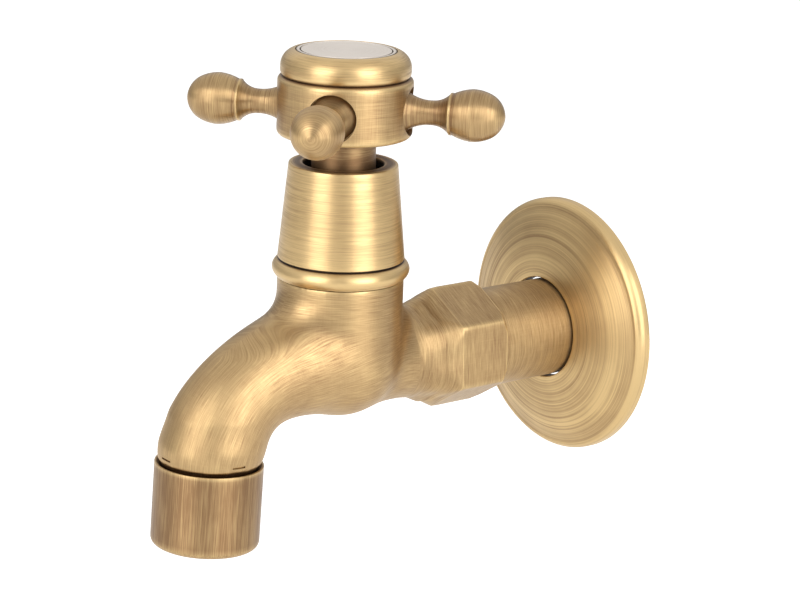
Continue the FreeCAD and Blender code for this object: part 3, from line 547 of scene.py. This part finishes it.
# %% Turn one arm and repeat it
def repeat_tree(material):
    """A node tree that repeats a mesh round the Z axis."""
    tree = bpy.data.node_groups.new("repeat_round_axis", "GeometryNodeTree")
    tree.interface.new_socket("Geometry", in_out="INPUT", socket_type="NodeSocketGeometry")
    tree.interface.new_socket("Count", in_out="INPUT", socket_type="NodeSocketInt")
    tree.interface.new_socket("First Angle", in_out="INPUT", socket_type="NodeSocketFloat")
    tree.interface.new_socket("Geometry", in_out="OUTPUT", socket_type="NodeSocketGeometry")
    given = tree.nodes.new("NodeGroupInput")
    points = add_node(tree, "GeometryNodePoints", {"Count": given.outputs["Count"]})
    index = tree.nodes.new("GeometryNodeInputIndex")
    part = math_node(tree, "DIVIDE", index.outputs[0], given.outputs["Count"])
    passed = math_node(tree, "MULTIPLY", part, 2 * math.pi)
    angle = math_node(tree, "ADD", passed, given.outputs["First Angle"])
    turn = add_node(tree, "ShaderNodeCombineXYZ", {"Z": angle})
    copies = add_node(tree, "GeometryNodeInstanceOnPoints", {
        "Points": points.outputs[0], "Instance": given.outputs["Geometry"], "Rotation": turn.outputs[0],
    })
    real = add_node(tree, "GeometryNodeRealizeInstances", {"Geometry": copies.outputs[0]})
    dressed = add_node(tree, "GeometryNodeSetMaterial", {
        "Geometry": real.outputs[0], "Material": material,
    })
    tree.links.new(dressed.outputs[0], tree.nodes.new("NodeGroupOutput").inputs[0])
    return tree


def repeated(mesh, tree, count, first):
    """Runs the tree on a mesh and returns the result as a plain mesh."""
    holder = new_object("repeat_holder", mesh)
    modifier = holder.modifiers.new("repeat", "NODES")
    modifier.node_group = tree
    values = {"Count": count, "First Angle": first}
    for socket in tree.interface.items_tree:
        if socket.in_out == "INPUT" and socket.name in values:
            modifier[socket.identifier] = values[socket.name]
    return settled(holder)


GRAIN_SHIFT = 37.0


def read_array(items, key, kind=np.float64, width=3):
    """One property of every item, a row for each."""
    values = np.zeros(len(items) * width, dtype=kind)
    items.foreach_get(key, values)
    return values.reshape(-1, width)


def turn_flow(mesh, count, first):
    """Turns the flow of each copy with it and moves its grain to a fresh part of the pattern."""
    flow, grain = (read_array(mesh.attributes[name].data, "vector", np.float32).reshape(count, -1, 3)
                   for name in ("flow", "grain"))
    for place in range(count):
        spin = np.array(Matrix.Rotation(first + place * 2 * math.pi / count, 3, "Z"))
        flow[place] = flow[place] @ spin.T
        grain[place] += GRAIN_SHIFT * place
    mesh.attributes["flow"].data.foreach_set("vector", flow.ravel())
    mesh.attributes["grain"].data.foreach_set("vector", grain.ravel())


arm_outline = [
    (0, 6.4), (2.4, 6.4), (2.4, 11.7), (5.0, 11.7, 0.1),
    *bow((5.0, 12.7), (2.68, 19.1), -8.704, 18), *bow((2.68, 19.1), (4.38, 22.9), -4.94, 14)[1:],
    (4.58, 23.0, 0.05), (4.58, 23.35, 0.05),
    *bow((4.5, 23.6), (5.66, 27.85), 11.32, 12), *bow((5.66, 27.85), (4.528, 32.22), 9.17, 12)[1:],
    *bow((4.528, 32.22), (0, 34.9), 5.547, 14)[1:],
]
# Painted shade at the arm's root, inside its socket.
arm_painted_shade = [(5.0, 12.2, 0.7, 1.6)]
lying = along((0, 0, ARM_HEIGHT * MM), (1, 0, 0))
arm = turned("arm", arm_outline, lying, steps=96, step=0.6, painted_shade=arm_painted_shade)
arms = repeated(arm, repeat_tree(arm_brass), ARM_COUNT, FIRST_ARM)
turn_flow(arms, ARM_COUNT, FIRST_ARM)
arms.transform(valve_axis)
arms.name = "four_arms"
arm_nodes = ["arm_right", "arm_back", "arm_left", "arm_front"]
place_piece(arms, arm_brass, "handle", arm_nodes)

# %% [markdown]
# ## Cast body
# The body is a casting, so its well and spout flow into each other, while its inlet end is turned
# and milled. The casting is a copy of the frame's body, remeshed into even small quads. A few
# turns of smoothing take off its steps, more of them melt the spout into the well, and most go to
# the underside, where the two meet at a sharp angle. The neck and the end of the spout keep their
# form. At the join the casting ends, and the turned inlet takes over.

# %% Remesh and smooth the casting
JOIN = 44.6  # from the wall
VOXEL = 0.45
EVEN_TURNS, BLEND_TURNS, BELLY_TURNS = 3, 44, 204
NECK_FOOT, NECK_TOP = 19.0, 20.5


def even_copy(node, size):
    """A merged copy of a node, remeshed into even quads of a size in millimetres."""
    work = bmesh.new()
    work.from_mesh(nodes[node].data)
    bmesh.ops.remove_doubles(work, verts=work.verts, dist=1e-6)
    mesh = bpy.data.meshes.new("even")
    work.to_mesh(mesh)
    work.free()
    holder = new_object("even", mesh)
    modifier = holder.modifiers.new("even", "REMESH")
    modifier.mode = "VOXEL"
    modifier.voxel_size = size * MM
    return settled(holder)


def mesh_arrays(mesh):
    """Points in millimetres and edges of a mesh."""
    return read_array(mesh.vertices, "co") / MM, read_array(mesh.edges, "vertices", np.int64, 2)


def neighbour_mean(values, edges):
    """The mean of each point's neighbours."""
    total = np.zeros_like(values)
    count = np.zeros(len(values))
    for first, second in ((0, 1), (1, 0)):
        np.add.at(total, edges[:, first], values[edges[:, second]])
        np.add.at(count, edges[:, first], 1)
    return total / np.maximum(count, 1)[:, None]


def ramp(value, low, high):
    """Zero below low, one above high, and a smooth rise between them."""
    part = np.clip((value - low) / (high - low), 0, 1)
    return part * part * (3 - 2 * part)


casting = even_copy("valve_body", VOXEL)
places, edges = mesh_arrays(casting)
# The weights fall to zero over a few millimetres at the spout's end, at the neck and at the join.
below_pipe, from_wall = -places[:, 2], -places[:, 1]
spout_end = ramp(below_pipe, 7, 12) * ramp(from_wall, 84, 90)
blend = (1 - spout_end) * ramp(below_pipe, -18.5, -15) * ramp(from_wall, 45, 50)
belly = blend * ramp(below_pipe, 5.0, 8.0) * ramp(from_wall, 48, 51)
for turn in range(BELLY_TURNS):
    if turn < EVEN_TURNS:
        weight = np.full(len(places), 0.4)
    elif turn < BLEND_TURNS:
        weight = 0.5 * blend
    else:
        weight = 0.5 * belly
    places += weight[:, None] * (neighbour_mean(places, edges) - places)
neck = places[:, 2] > NECK_FOOT
places[neck, 2] = np.minimum(places[neck, 2], NECK_TOP)
casting.vertices.foreach_set("co", (places * MM).ravel())
work = bmesh.new()
work.from_mesh(casting)
everything = work.verts[:] + work.edges[:] + work.faces[:]
split = bmesh.ops.bisect_plane(work, geom=everything, plane_co=(0, -JOIN * MM, 0),
                               plane_no=(0, 1, 0), clear_outer=True)
rim = [edge for edge in split["geom_cut"] if isinstance(edge, bmesh.types.BMEdge)]
bmesh.ops.triangle_fill(work, use_beauty=True, edges=rim)
bmesh.ops.recalc_face_normals(work, faces=work.faces)
work.to_mesh(casting)
work.free()
print("casting:", len(casting.polygons), "faces")

# %% [markdown]
# The inlet end is turned like the other pieces, and its hexagon comes from a rule: at each angle
# the radius is the least of the turned radius and the six flats, with a soft minimum that rounds
# every edge a little. In front of the hexagon a shoulder leads down to the casting: at each angle
# it is a parabola from the hexagon's edge, and it is drawn in a little between the corners. The
# thread is cut by the same rule. Its phase depends on height and on angle, which makes a helix.

# %% Turn the inlet with its hexagon and thread
HEX_FLAT, HEX_TURN = 12.2, math.radians(32)
HEX_BACK, HEX_FRONT = 27.4, 40.4
SHOULDER_MIDDLE, SHOULDER_END = (4.2, 11.8), (8, 10.0)  # way past the hexagon, and radius
HOLLOW_LENGTH, HOLLOW_DEPTH = 8.4, 0.9
CHAMFER_RADIUS, CHAMFER_SLOPE, CHAMFER_BACK, CHAMFER_FRONT = 13.55, 0.55, -2, 3.9
FLAT_SOFT, CHAMFER_SOFT, EDGE_SOFT = 0.12, 0.15, 0.1
OUTSIDE = 9  # the waterway's wall lies within this radius
PITCH, THREAD_DEPTH = 1.814, 1.162
THREAD_START, THREAD_STOP, RUN_OUT = 0.3, 12.95, 1.6
STEEPER, CREST, ROOT = 1.25, 0.1, 1.1  # steeper flanks leave room for a flat crest and root


def hollow_shoulder(places):
    """Draws the shoulder in between the hexagon's corners, so that each flat ends in an edge."""
    angle = np.arctan2(places[:, 2], places[:, 0])
    from_pipe = np.hypot(places[:, 0], places[:, 2])
    past = -places[:, 1] - HEX_FRONT
    within = (past > 0) & (past < HOLLOW_LENGTH) & (from_pipe > OUTSIDE)
    between = 0.5 - 0.5 * np.cos(6 * (angle - HEX_TURN))
    sag = np.sin(np.clip(past, 0, HOLLOW_LENGTH) * math.pi / HOLLOW_LENGTH)
    drop = HOLLOW_DEPTH * between * sag * within
    keep = 1 - drop / np.maximum(from_pipe, 1)
    return places * np.stack([keep, np.ones_like(keep), keep], -1)


def soft_least(values, softness):
    """The least of several arrays, with the corners between them rounded."""
    return -softness * np.log(sum(np.exp(-value / softness) for value in values))


def inlet_shape(radius, height, angle):
    """Hexagon flats, the shoulder in front of them and the pipe thread."""
    turns = angle - HEX_TURN - math.radians(30)
    flats, far_away, least = [], 60.0, 0.3
    for side in range(6):
        facing = np.cos(turns - side * math.pi / 3)
        reach = np.where(facing > least, HEX_FLAT / np.maximum(facing, least), far_away)
        flats.append(reach + 0 * radius)
    flat = soft_least(flats, FLAT_SOFT)
    past = height - HEX_FRONT
    (middle, middle_radius), (end, end_radius) = SHOULDER_MIDDLE, SHOULDER_END
    shoulder = ((past - middle) * (past - end) / (middle * end) * flat
                + past * (past - end) / (middle * (middle - end)) * middle_radius
                + past * (past - middle) / (end * (end - middle)) * end_radius)
    outer = radius > OUTSIDE
    near_hexagon = outer & (past < CHAMFER_FRONT)
    result = np.where(outer & (past > 0), shoulder, radius)
    chamfered = soft_least([result, CHAMFER_RADIUS - CHAMFER_SLOPE * past], CHAMFER_SOFT)
    result = np.where(near_hexagon & (past > CHAMFER_BACK), chamfered, result)
    milled = soft_least([result, flat], EDGE_SOFT)
    result = np.where(near_hexagon & (height > HEX_BACK), milled, result)
    phase = (height / PITCH - angle / (2 * math.pi)) % 1
    depth = np.clip(THREAD_DEPTH * np.abs(2 * phase - 1) * STEEPER - CREST, 0, ROOT)
    threaded = outer & (height < -THREAD_START) & (height > -THREAD_STOP)
    return np.where(threaded, result - depth * ramp(-height, THREAD_START, RUN_OUT), result)


rows_of_inlet = [
    (6.0, -13.0), (9.3, -13.0), (10.48, -12.0),
    *[(10.48, -12 + 0.16 * step) for step in range(1, 75)],
    (11.25, 0.0, 0.1), (11.25, 27.0), (11.25, 27.42),
    *[(radius, 27.5) for radius in (11.4, 11.8, 12.2, 12.6, 12.99)],
    *[(12.99 + 0.11 * step, 27.5 + 0.11 * step) for step in range(1, 11)],
    *[(14.087, 28.8 + 0.2 * step) for step in range(4)], (14.087, 39.8),
    *[(14.087, 40.0 + 0.2 * step) for step in range(3)],
    *[(12.5, 40.6 + 0.25 * step) for step in range(16)],
    (11.8, JOIN), (6.0, JOIN),
]
inlet = turned("inlet", rows_of_inlet, pipe_axis, steps=174, step=1.6, shape=inlet_shape)
print("inlet:", len(inlet.polygons), "faces")

# %% [markdown]
# The brush ran level round the neck and the well, and lengthwise along the spout. A line through
# the middle of the spout tells both ways: how far along a point lies, and at what angle round it.
# Strokes keep one angle. Above the well they change over to keep one height.

# %% Follow the spout's middle line
SPOUT_STATIONS = [
    (-24, 5.4, 0), (0, 5.4, 12), (12, 2.5, 12), (21.4, 0.2, 25), (29, -5.1, 52), (33.8, -16.4, 87),
    (34.2, -24.0, 87),
]
STROKE_RADIUS = 12.0
LEVEL_FROM, LEVEL_ABOVE = 6, 14  # heights between which the strokes change over
NECK_SHIFT, SIDE_SHIFT = 24, 40  # these keep the pattern of the neck and the sides apart


def spout_line(stations, count=14):
    """Points and directions of a smooth line through stations of reach, height and slope."""
    points, ways = [], []
    for (out0, up0, slope0), (out1, up1, slope1) in zip(stations, stations[1:]):
        start, stop = np.array([out0, up0]), np.array([out1, up1])
        length = np.linalg.norm(stop - start)
        first, last = (length * np.array([math.cos(slope), -math.sin(slope)])
                       for slope in np.radians([slope0, slope1]))
        for part in np.arange(count) / count:
            rest = 1 - part
            points.append(rest**2 * (1 + 2 * part) * start + part**2 * (3 - 2 * part) * stop
                          + part * rest * (rest * first - part * last))
            way = (6 * part * rest * (stop - start) + rest * (1 - 3 * part) * first
                   - part * (2 - 3 * part) * last)
            ways.append(way / np.linalg.norm(way))
    return np.array(points), np.array(ways)


def spout_strokes(places):
    """The grain and the direction of the strokes at each place on the casting."""
    line, ways = spout_line(SPOUT_STATIONS)
    along_line = np.concatenate([[0], np.cumsum(np.linalg.norm(np.diff(line, axis=0), axis=1))])
    centre = valve_axis.translation.y / MM
    side = np.stack([centre - places[:, 1], places[:, 2]], -1)
    batches = np.array_split(side, 40)  # a few at a time, to save memory
    nearest = np.concatenate([np.linalg.norm(batch[:, None] - line[None], axis=2).argmin(1)
                              for batch in batches])
    way, offset = ways[nearest], side - line[nearest]
    lift = offset[:, 1] * way[:, 0] - offset[:, 0] * way[:, 1]
    across = -STROKE_RADIUS * np.arctan2(np.abs(places[:, 0]), lift)
    ahead = along_line[nearest] + (offset * way).sum(1)
    from_valve = np.maximum(np.hypot(places[:, 0], side[:, 0]), 1)
    hand = np.where(places[:, 0] < 0, -1.0, 1.0)
    level = np.stack([-side[:, 0], -places[:, 0], 0 * hand], -1) * (hand / from_valve)[:, None]
    neck_share = ramp(places[:, 2], LEVEL_FROM, LEVEL_ABOVE)
    round_valve = STROKE_RADIUS * np.arctan2(side[:, 0], np.abs(places[:, 0]))
    across = (1 - neck_share) * across + neck_share * (places[:, 2] - NECK_SHIFT)
    ahead = (1 - neck_share) * ahead + neck_share * (round_valve + NECK_SHIFT)
    spout_way = np.stack([0 * hand, -way[:, 0], way[:, 1]], -1)
    stroke = (1 - neck_share)[:, None] * spout_way + neck_share[:, None] * level
    return np.stack([ahead, SIDE_SHIFT * hand, across], -1), stroke


# %% [markdown]
# The casting has no outline to tell its wear, so it is measured on the mesh: a point whose
# neighbours lie below its surface is on an outer edge, and one whose neighbours rise is in a
# corner. The barrel behind the well was turned, so its strokes run round the pipe. Painted shade
# lies where the collar hides the end of the spout.

# %% Give the body its grain, flow and wear
BARREL_END, BARREL_RADIUS = 50.3, 12.0
SPOUT_FRONT = 84


def bend_of(mesh, rounds=2):
    """How much a mesh bends outwards at each point, from its neighbours and its normals."""
    places, edges = mesh_arrays(mesh)
    normals = read_array(mesh.vertices, "normal")
    span = places[edges[:, 0]] - places[edges[:, 1]]
    length = np.maximum((span**2).sum(1), 1e-4)
    total, count = np.zeros(len(places)), np.zeros(len(places))
    for index, sign in ((0, 1), (1, -1)):
        np.add.at(total, edges[:, index], sign * (span * normals[edges[:, index]]).sum(1) / length)
        np.add.at(count, edges[:, index], 1)
    bend = (total / np.maximum(count, 1))[:, None]
    for _ in range(rounds):
        bend = 0.5 * bend + 0.5 * neighbour_mean(bend, edges)
    return places, normals, bend[:, 0]


for part in (casting, inlet):
    part.vertices.foreach_set("co", (hollow_shoulder(mesh_arrays(part)[0]) * MM).ravel())
    part.update()
places, normals, bend = bend_of(casting)
casting_grain, stroke = spout_strokes(places)
from_pipe = np.maximum(np.hypot(places[:, 0], places[:, 2]), 1)
on_barrel = ((places[:, 1] > -BARREL_END) & (from_pipe < BARREL_RADIUS))[:, None]
round_pipe = np.stack([-places[:, 2] / from_pipe, 0 * from_pipe, places[:, 0] / from_pipe], -1)
stroke = np.where(on_barrel, round_pipe, stroke)
barrel_grain = np.stack([places[:, 0], places[:, 2], -places[:, 1]], -1)
casting_grain = np.where(on_barrel, barrel_grain, casting_grain)
add_attribute(casting, "grain", "FLOAT_VECTOR", casting_grain)
add_attribute(casting, "flow", "FLOAT_VECTOR", np.cross(normals, stroke))
off_join = ramp(np.abs(places[:, 1] + JOIN), 0.2, 1.5)
# Painted shade starts at the collar's upper edge and ends 2.6 mm further down, inside the collar.
down = (places * MM - np.array(outlet_axis.translation)) @ np.array(outlet_axis.col[2][:3]) / MM
casting_painted_shade = 3 * ramp(down, -0.1, 0.5) * ramp(-down, -2.6, -1.4) * (places[:, 1] < -SPOUT_FRONT)
add_attribute(casting, "wear_and_shade", "FLOAT", np.clip(bend * 1.2, -0.6, 0.6) * off_join - casting_painted_shade)
places, _, bend = bend_of(inlet, 1)
off_join = ramp(np.abs(places[:, 1] + JOIN), 0.2, 1.5)
inlet_wear = np.clip(bend * 2.0, -1, 1) * off_join
inlet.attributes["wear_and_shade"].data.foreach_set("value", inlet_wear.astype(np.float32))
print("inlet wear:", round(float(inlet_wear.min()), 2), "to", round(float(inlet_wear.max()), 2))

# %% [markdown]
# Four short slits stand round the end of the spout, just above the collar. One small block is
# repeated by the same tree as the arms, and the four blocks are cut out of the casting.

# %% Cut the slits and join the body
SLIT_COUNT, SLIT_RADIUS = 4, 11.3
SLIT_LENGTH, SLIT_HEIGHT, SLIT_DEPTH, SLIT_RISE = 3.2, 0.42, 0.7, 1.9


def slit_blocks():
    """Four blocks round the end of the spout, painted dark all over as shade for the slit walls."""
    block = bmesh.new()
    bmesh.ops.create_cube(block, size=1.0)
    for corner in block.verts:
        corner.co.x = SLIT_RADIUS + corner.co.x * 2 * SLIT_DEPTH
        corner.co.y *= SLIT_LENGTH
        corner.co.z = corner.co.z * SLIT_HEIGHT - SLIT_RISE
        corner.co *= MM
    mesh = bpy.data.meshes.new("slit_block")
    block.to_mesh(mesh)
    block.free()
    # Painted shade: the cut leaves these faces as the slit walls, near black.
    add_attribute(mesh, "wear_and_shade", "FLOAT", np.full(len(mesh.vertices), -3.0))
    blocks = repeated(mesh, repeat_tree(spout_brass), SLIT_COUNT, 0.0)
    blocks.transform(outlet_axis)
    return blocks


casting = cut(casting, [slit_blocks()])
joined = bmesh.new()
for part in (casting, inlet):
    joined.from_mesh(part)
body_mesh = bpy.data.meshes.new("cast_body")
joined.to_mesh(body_mesh)
joined.free()
body_mesh.shade_smooth()
body_mesh.set_sharp_from_angle(angle=math.radians(40))
place_piece(body_mesh, spout_brass, "valve", ["valve_body"])

# %% [markdown]
# ## Hidden pieces
# The valve's inner pieces show only when the tap is taken apart. They keep the frame's forms and
# get plain workshop finishes: machined brass, ceramic, rubber, white plastic and steel.

# %% Finish the hidden pieces
def plain_finish(name, colour, second, roughness, metallic=0.0, scale=900.0, bump=0.1):
    """A finish with a fine uneven grain in its colour, gloss and surface."""
    material, tree = new_material(name)
    place = add_node(tree, "ShaderNodeTexCoord").outputs["Object"]
    speck = noise(tree, place, scale, 4.0, 0.6)
    cloud = noise(tree, place, scale / 12, 2.0)
    shade = math_node(tree, "MULTIPLY", math_node(tree, "ADD", speck, cloud), 0.5)
    pits = {"Strength": bump, "Distance": 0.05 * MM, "Height": speck}
    surface = add_node(tree, "ShaderNodeBsdfPrincipled", {
        "Base Color": blend_colours(tree, spread(tree, shade, 0.35, 0.65), colour, second),
        "Metallic": metallic,
        "Roughness": spread(tree, speck, 0.3, 0.7, roughness - 0.06, roughness + 0.06),
        "Normal": add_node(tree, "ShaderNodeBump", pits).outputs[0],
    })
    add_node(tree, "ShaderNodeOutputMaterial", {"Surface": surface.outputs[0]})
    return material


finishes = {
    "plain_brass": plain_finish("machined_brass", (0.66, 0.47, 0.2), (0.58, 0.4, 0.16),
                                roughness=0.3, metallic=1.0),
    "ceramic": plain_finish("lapped_ceramic", (0.8, 0.78, 0.73), (0.76, 0.74, 0.69), roughness=0.2),
    "rubber": plain_finish("black_rubber", (0.03, 0.03, 0.03), (0.045, 0.045, 0.045),
                           roughness=0.6, scale=1500.0, bump=0.3),
    "white_plastic": plain_finish("white_plastic", (0.78, 0.77, 0.73), (0.73, 0.72, 0.68),
                                  roughness=0.42),
    "steel": plain_finish("stainless_steel", (0.56, 0.56, 0.56), (0.48, 0.48, 0.48),
                          roughness=0.32, metallic=1.0),
}
for part in frame["record"]["subparts"]:
    if part["material_slot"] in finishes:
        item = nodes[part["node"]]
        item.data.materials.clear()
        item.data.materials.append(finishes[part["material_slot"]])
print("hidden finishes:", ", ".join(finishes))

# %% [markdown]
# ## Stage
# A pale floor, a white background and soft light from two large lamps, one on each side of the
# camera. Brushed metal shows only what it mirrors, so the bands on the tap come from the lamps
# and from the darker room between them.

# %% Floor and background
FLOOR_DROP = 75 * MM
FLOOR_REACH = 6.0
PAPER = (0.92, 0.92, 0.92, 1)
WHITE = (1, 1, 1, 1)
MIRRORED_GLOW, SEEN_GLOW = 0.45, 0.12
ROOM_LIGHT = 0.5


def background_rays(tree):
    """One for rays from the camera, for mirrored rays and for rays through glass, else zero."""
    rays = add_node(tree, "ShaderNodeLightPath").outputs
    seen = math_node(tree, "ADD", rays["Is Camera Ray"], rays["Is Transmission Ray"], clamp=True)
    return math_node(tree, "ADD", seen, rays["Is Glossy Ray"], clamp=True)


def make_floor():
    """A pale floor that glows a little for the camera and in mirrors, so that it looks white."""
    mesh = bpy.data.meshes.new("floor")
    signs = [(-1, -1), (1, -1), (1, 1), (-1, 1)]
    corners = [(x * FLOOR_REACH, y * FLOOR_REACH, -FLOOR_DROP) for x, y in signs]
    mesh.from_pydata(corners, [], [(0, 1, 2, 3)])
    floor = new_object("floor", mesh)
    material, tree = new_material("floor_paper")
    paper = add_node(tree, "ShaderNodeBsdfDiffuse", {"Color": PAPER})
    camera_ray = add_node(tree, "ShaderNodeLightPath").outputs["Is Camera Ray"]
    mirrored = math_node(tree, "MULTIPLY", background_rays(tree), MIRRORED_GLOW)
    seen = math_node(tree, "MULTIPLY", camera_ray, SEEN_GLOW)
    glow = add_node(tree, "ShaderNodeEmission", {"Strength": math_node(tree, "ADD", mirrored, seen)})
    both = add_node(tree, "ShaderNodeAddShader", {0: paper.outputs[0], 1: glow.outputs[0]})
    add_node(tree, "ShaderNodeOutputMaterial", {"Surface": both.outputs[0]})
    mesh.materials.append(material)


def make_world():
    """Half-bright room light, with a white background where it is seen or mirrored."""
    world = bpy.data.worlds.new("studio")
    bpy.context.scene.world = world
    world.use_nodes = True
    tree = world.node_tree
    tree.nodes.clear()
    shades = []
    for strength in (ROOM_LIGHT, 1.0):
        inputs = {"Color": WHITE, "Strength": strength}
        shades.append(add_node(tree, "ShaderNodeBackground", inputs).outputs[0])
    inputs = {0: background_rays(tree), 1: shades[0], 2: shades[1]}
    mixed = add_node(tree, "ShaderNodeMixShader", inputs)
    add_node(tree, "ShaderNodeOutputWorld", {"Surface": mixed.outputs[0]})


make_floor()
make_world()
print("floor at", -FLOOR_DROP, "m")

# %% [markdown]
# A camera is told by its place, three angles and its lens. They were solved from the round and
# six-sided forms in the photograph, whose ellipses and corners tell where it was taken from.

# %% Camera
CAMERA_PLACE = Vector((0.45912, -0.40746, 0.17536))
CAMERA_TURN = 0.908223  # heading, anticlockwise from looking along +Y
CAMERA_DIP = 0.272744
CAMERA_ROLL = 0.0333010
LENS = 121.80


def make_camera():
    """The photograph's view of the tap."""
    data = bpy.data.cameras.new("camera")
    data.lens = LENS
    data.sensor_width = 36.0
    data.clip_start = 0.01
    camera = new_object("camera", data)
    heading = Matrix.Rotation(CAMERA_TURN, 4, "Z")
    pitch = Matrix.Rotation(math.pi / 2 - CAMERA_DIP, 4, "X")
    roll = Matrix.Rotation(CAMERA_ROLL, 4, "Z")
    camera.matrix_world = Matrix.Translation(CAMERA_PLACE) @ heading @ pitch @ roll
    bpy.context.scene.camera = camera


make_camera()
print("camera", round(CAMERA_PLACE.length, 3), "m from the pipe's end")

# %% [markdown]
# A photographer stands shiny metal in a tent. This one is met by mirrored rays only. It is dark
# at its foot, so that the sides of the tap get soft dark edges, and pale at its top. The two lamps
# stand inside it.

# %% Lamps and screen
TENT_LOW, TENT_HIGH = 0.1, 0.85  # heights in metres between which the tent's shade changes
FOOT_SHADE, TOP_SHADE = 0.34, 0.98


def side_direction(around, up):
    """A direction from the tap, by its angle from the camera and above the level."""
    angle = CAMERA_TURN - math.pi / 2 + math.radians(around)
    rise = math.radians(up)
    return Vector((math.cos(angle) * math.cos(rise), math.sin(angle) * math.cos(rise), math.sin(rise)))


def make_lamp(name, around, up, distance, width, height, power):
    """A soft lamp that looks at the tap."""
    data = bpy.data.lights.new(name, "AREA")
    data.shape = "RECTANGLE"
    data.size = width
    data.size_y = height
    data.energy = power
    lamp = new_object(name, data)
    side = side_direction(around, up)
    lamp.location = valve_axis.translation + side * distance
    lamp.rotation_euler = side.to_track_quat("Z", "Y").to_euler()


def make_screen(distance=1.6, columns=48, rows=12, below=2):
    """A round tent, seen only by mirrored rays, dark at its foot and pale at its top."""
    places, faces = [], []
    for row in range(rows + 1):
        for column in range(columns):
            side = side_direction(360 * column / columns, 90 * row / rows - below)
            places.append(valve_axis.translation + side * distance)
    for row in range(rows):
        for column in range(columns):
            beside = (column + 1) % columns
            corners = [(row, column), (row, beside), (row + 1, beside), (row + 1, column)]
            faces.append([high * columns + across for high, across in corners])
    mesh = bpy.data.meshes.new("screen")
    mesh.from_pydata(places, [], faces)
    screen = new_object("screen", mesh)
    material, tree = new_material("screen_cloth")
    place = add_node(tree, "ShaderNodeTexCoord").outputs["Object"]
    height = add_node(tree, "ShaderNodeSeparateXYZ", {0: place}).outputs["Z"]
    shade = spread(tree, height, TENT_LOW, TENT_HIGH, FOOT_SHADE, TOP_SHADE)
    cloth = add_node(tree, "ShaderNodeEmission", {"Color": WHITE, "Strength": shade})
    add_node(tree, "ShaderNodeOutputMaterial", {"Surface": cloth.outputs[0]})
    mesh.materials.append(material)
    screen.visible_camera = False
    screen.visible_diffuse = False
    screen.visible_shadow = False
    screen.visible_transmission = False


make_lamp("left_lamp", around=-41, up=18, distance=1.1, width=0.65, height=1.2, power=8.2)
make_lamp("right_lamp", around=43, up=18, distance=1.1, width=0.70, height=1.2, power=9.6)
make_screen()
bpy.context.scene.view_settings.view_transform = "Standard"
print("two lamps and a tent stand round the tap")
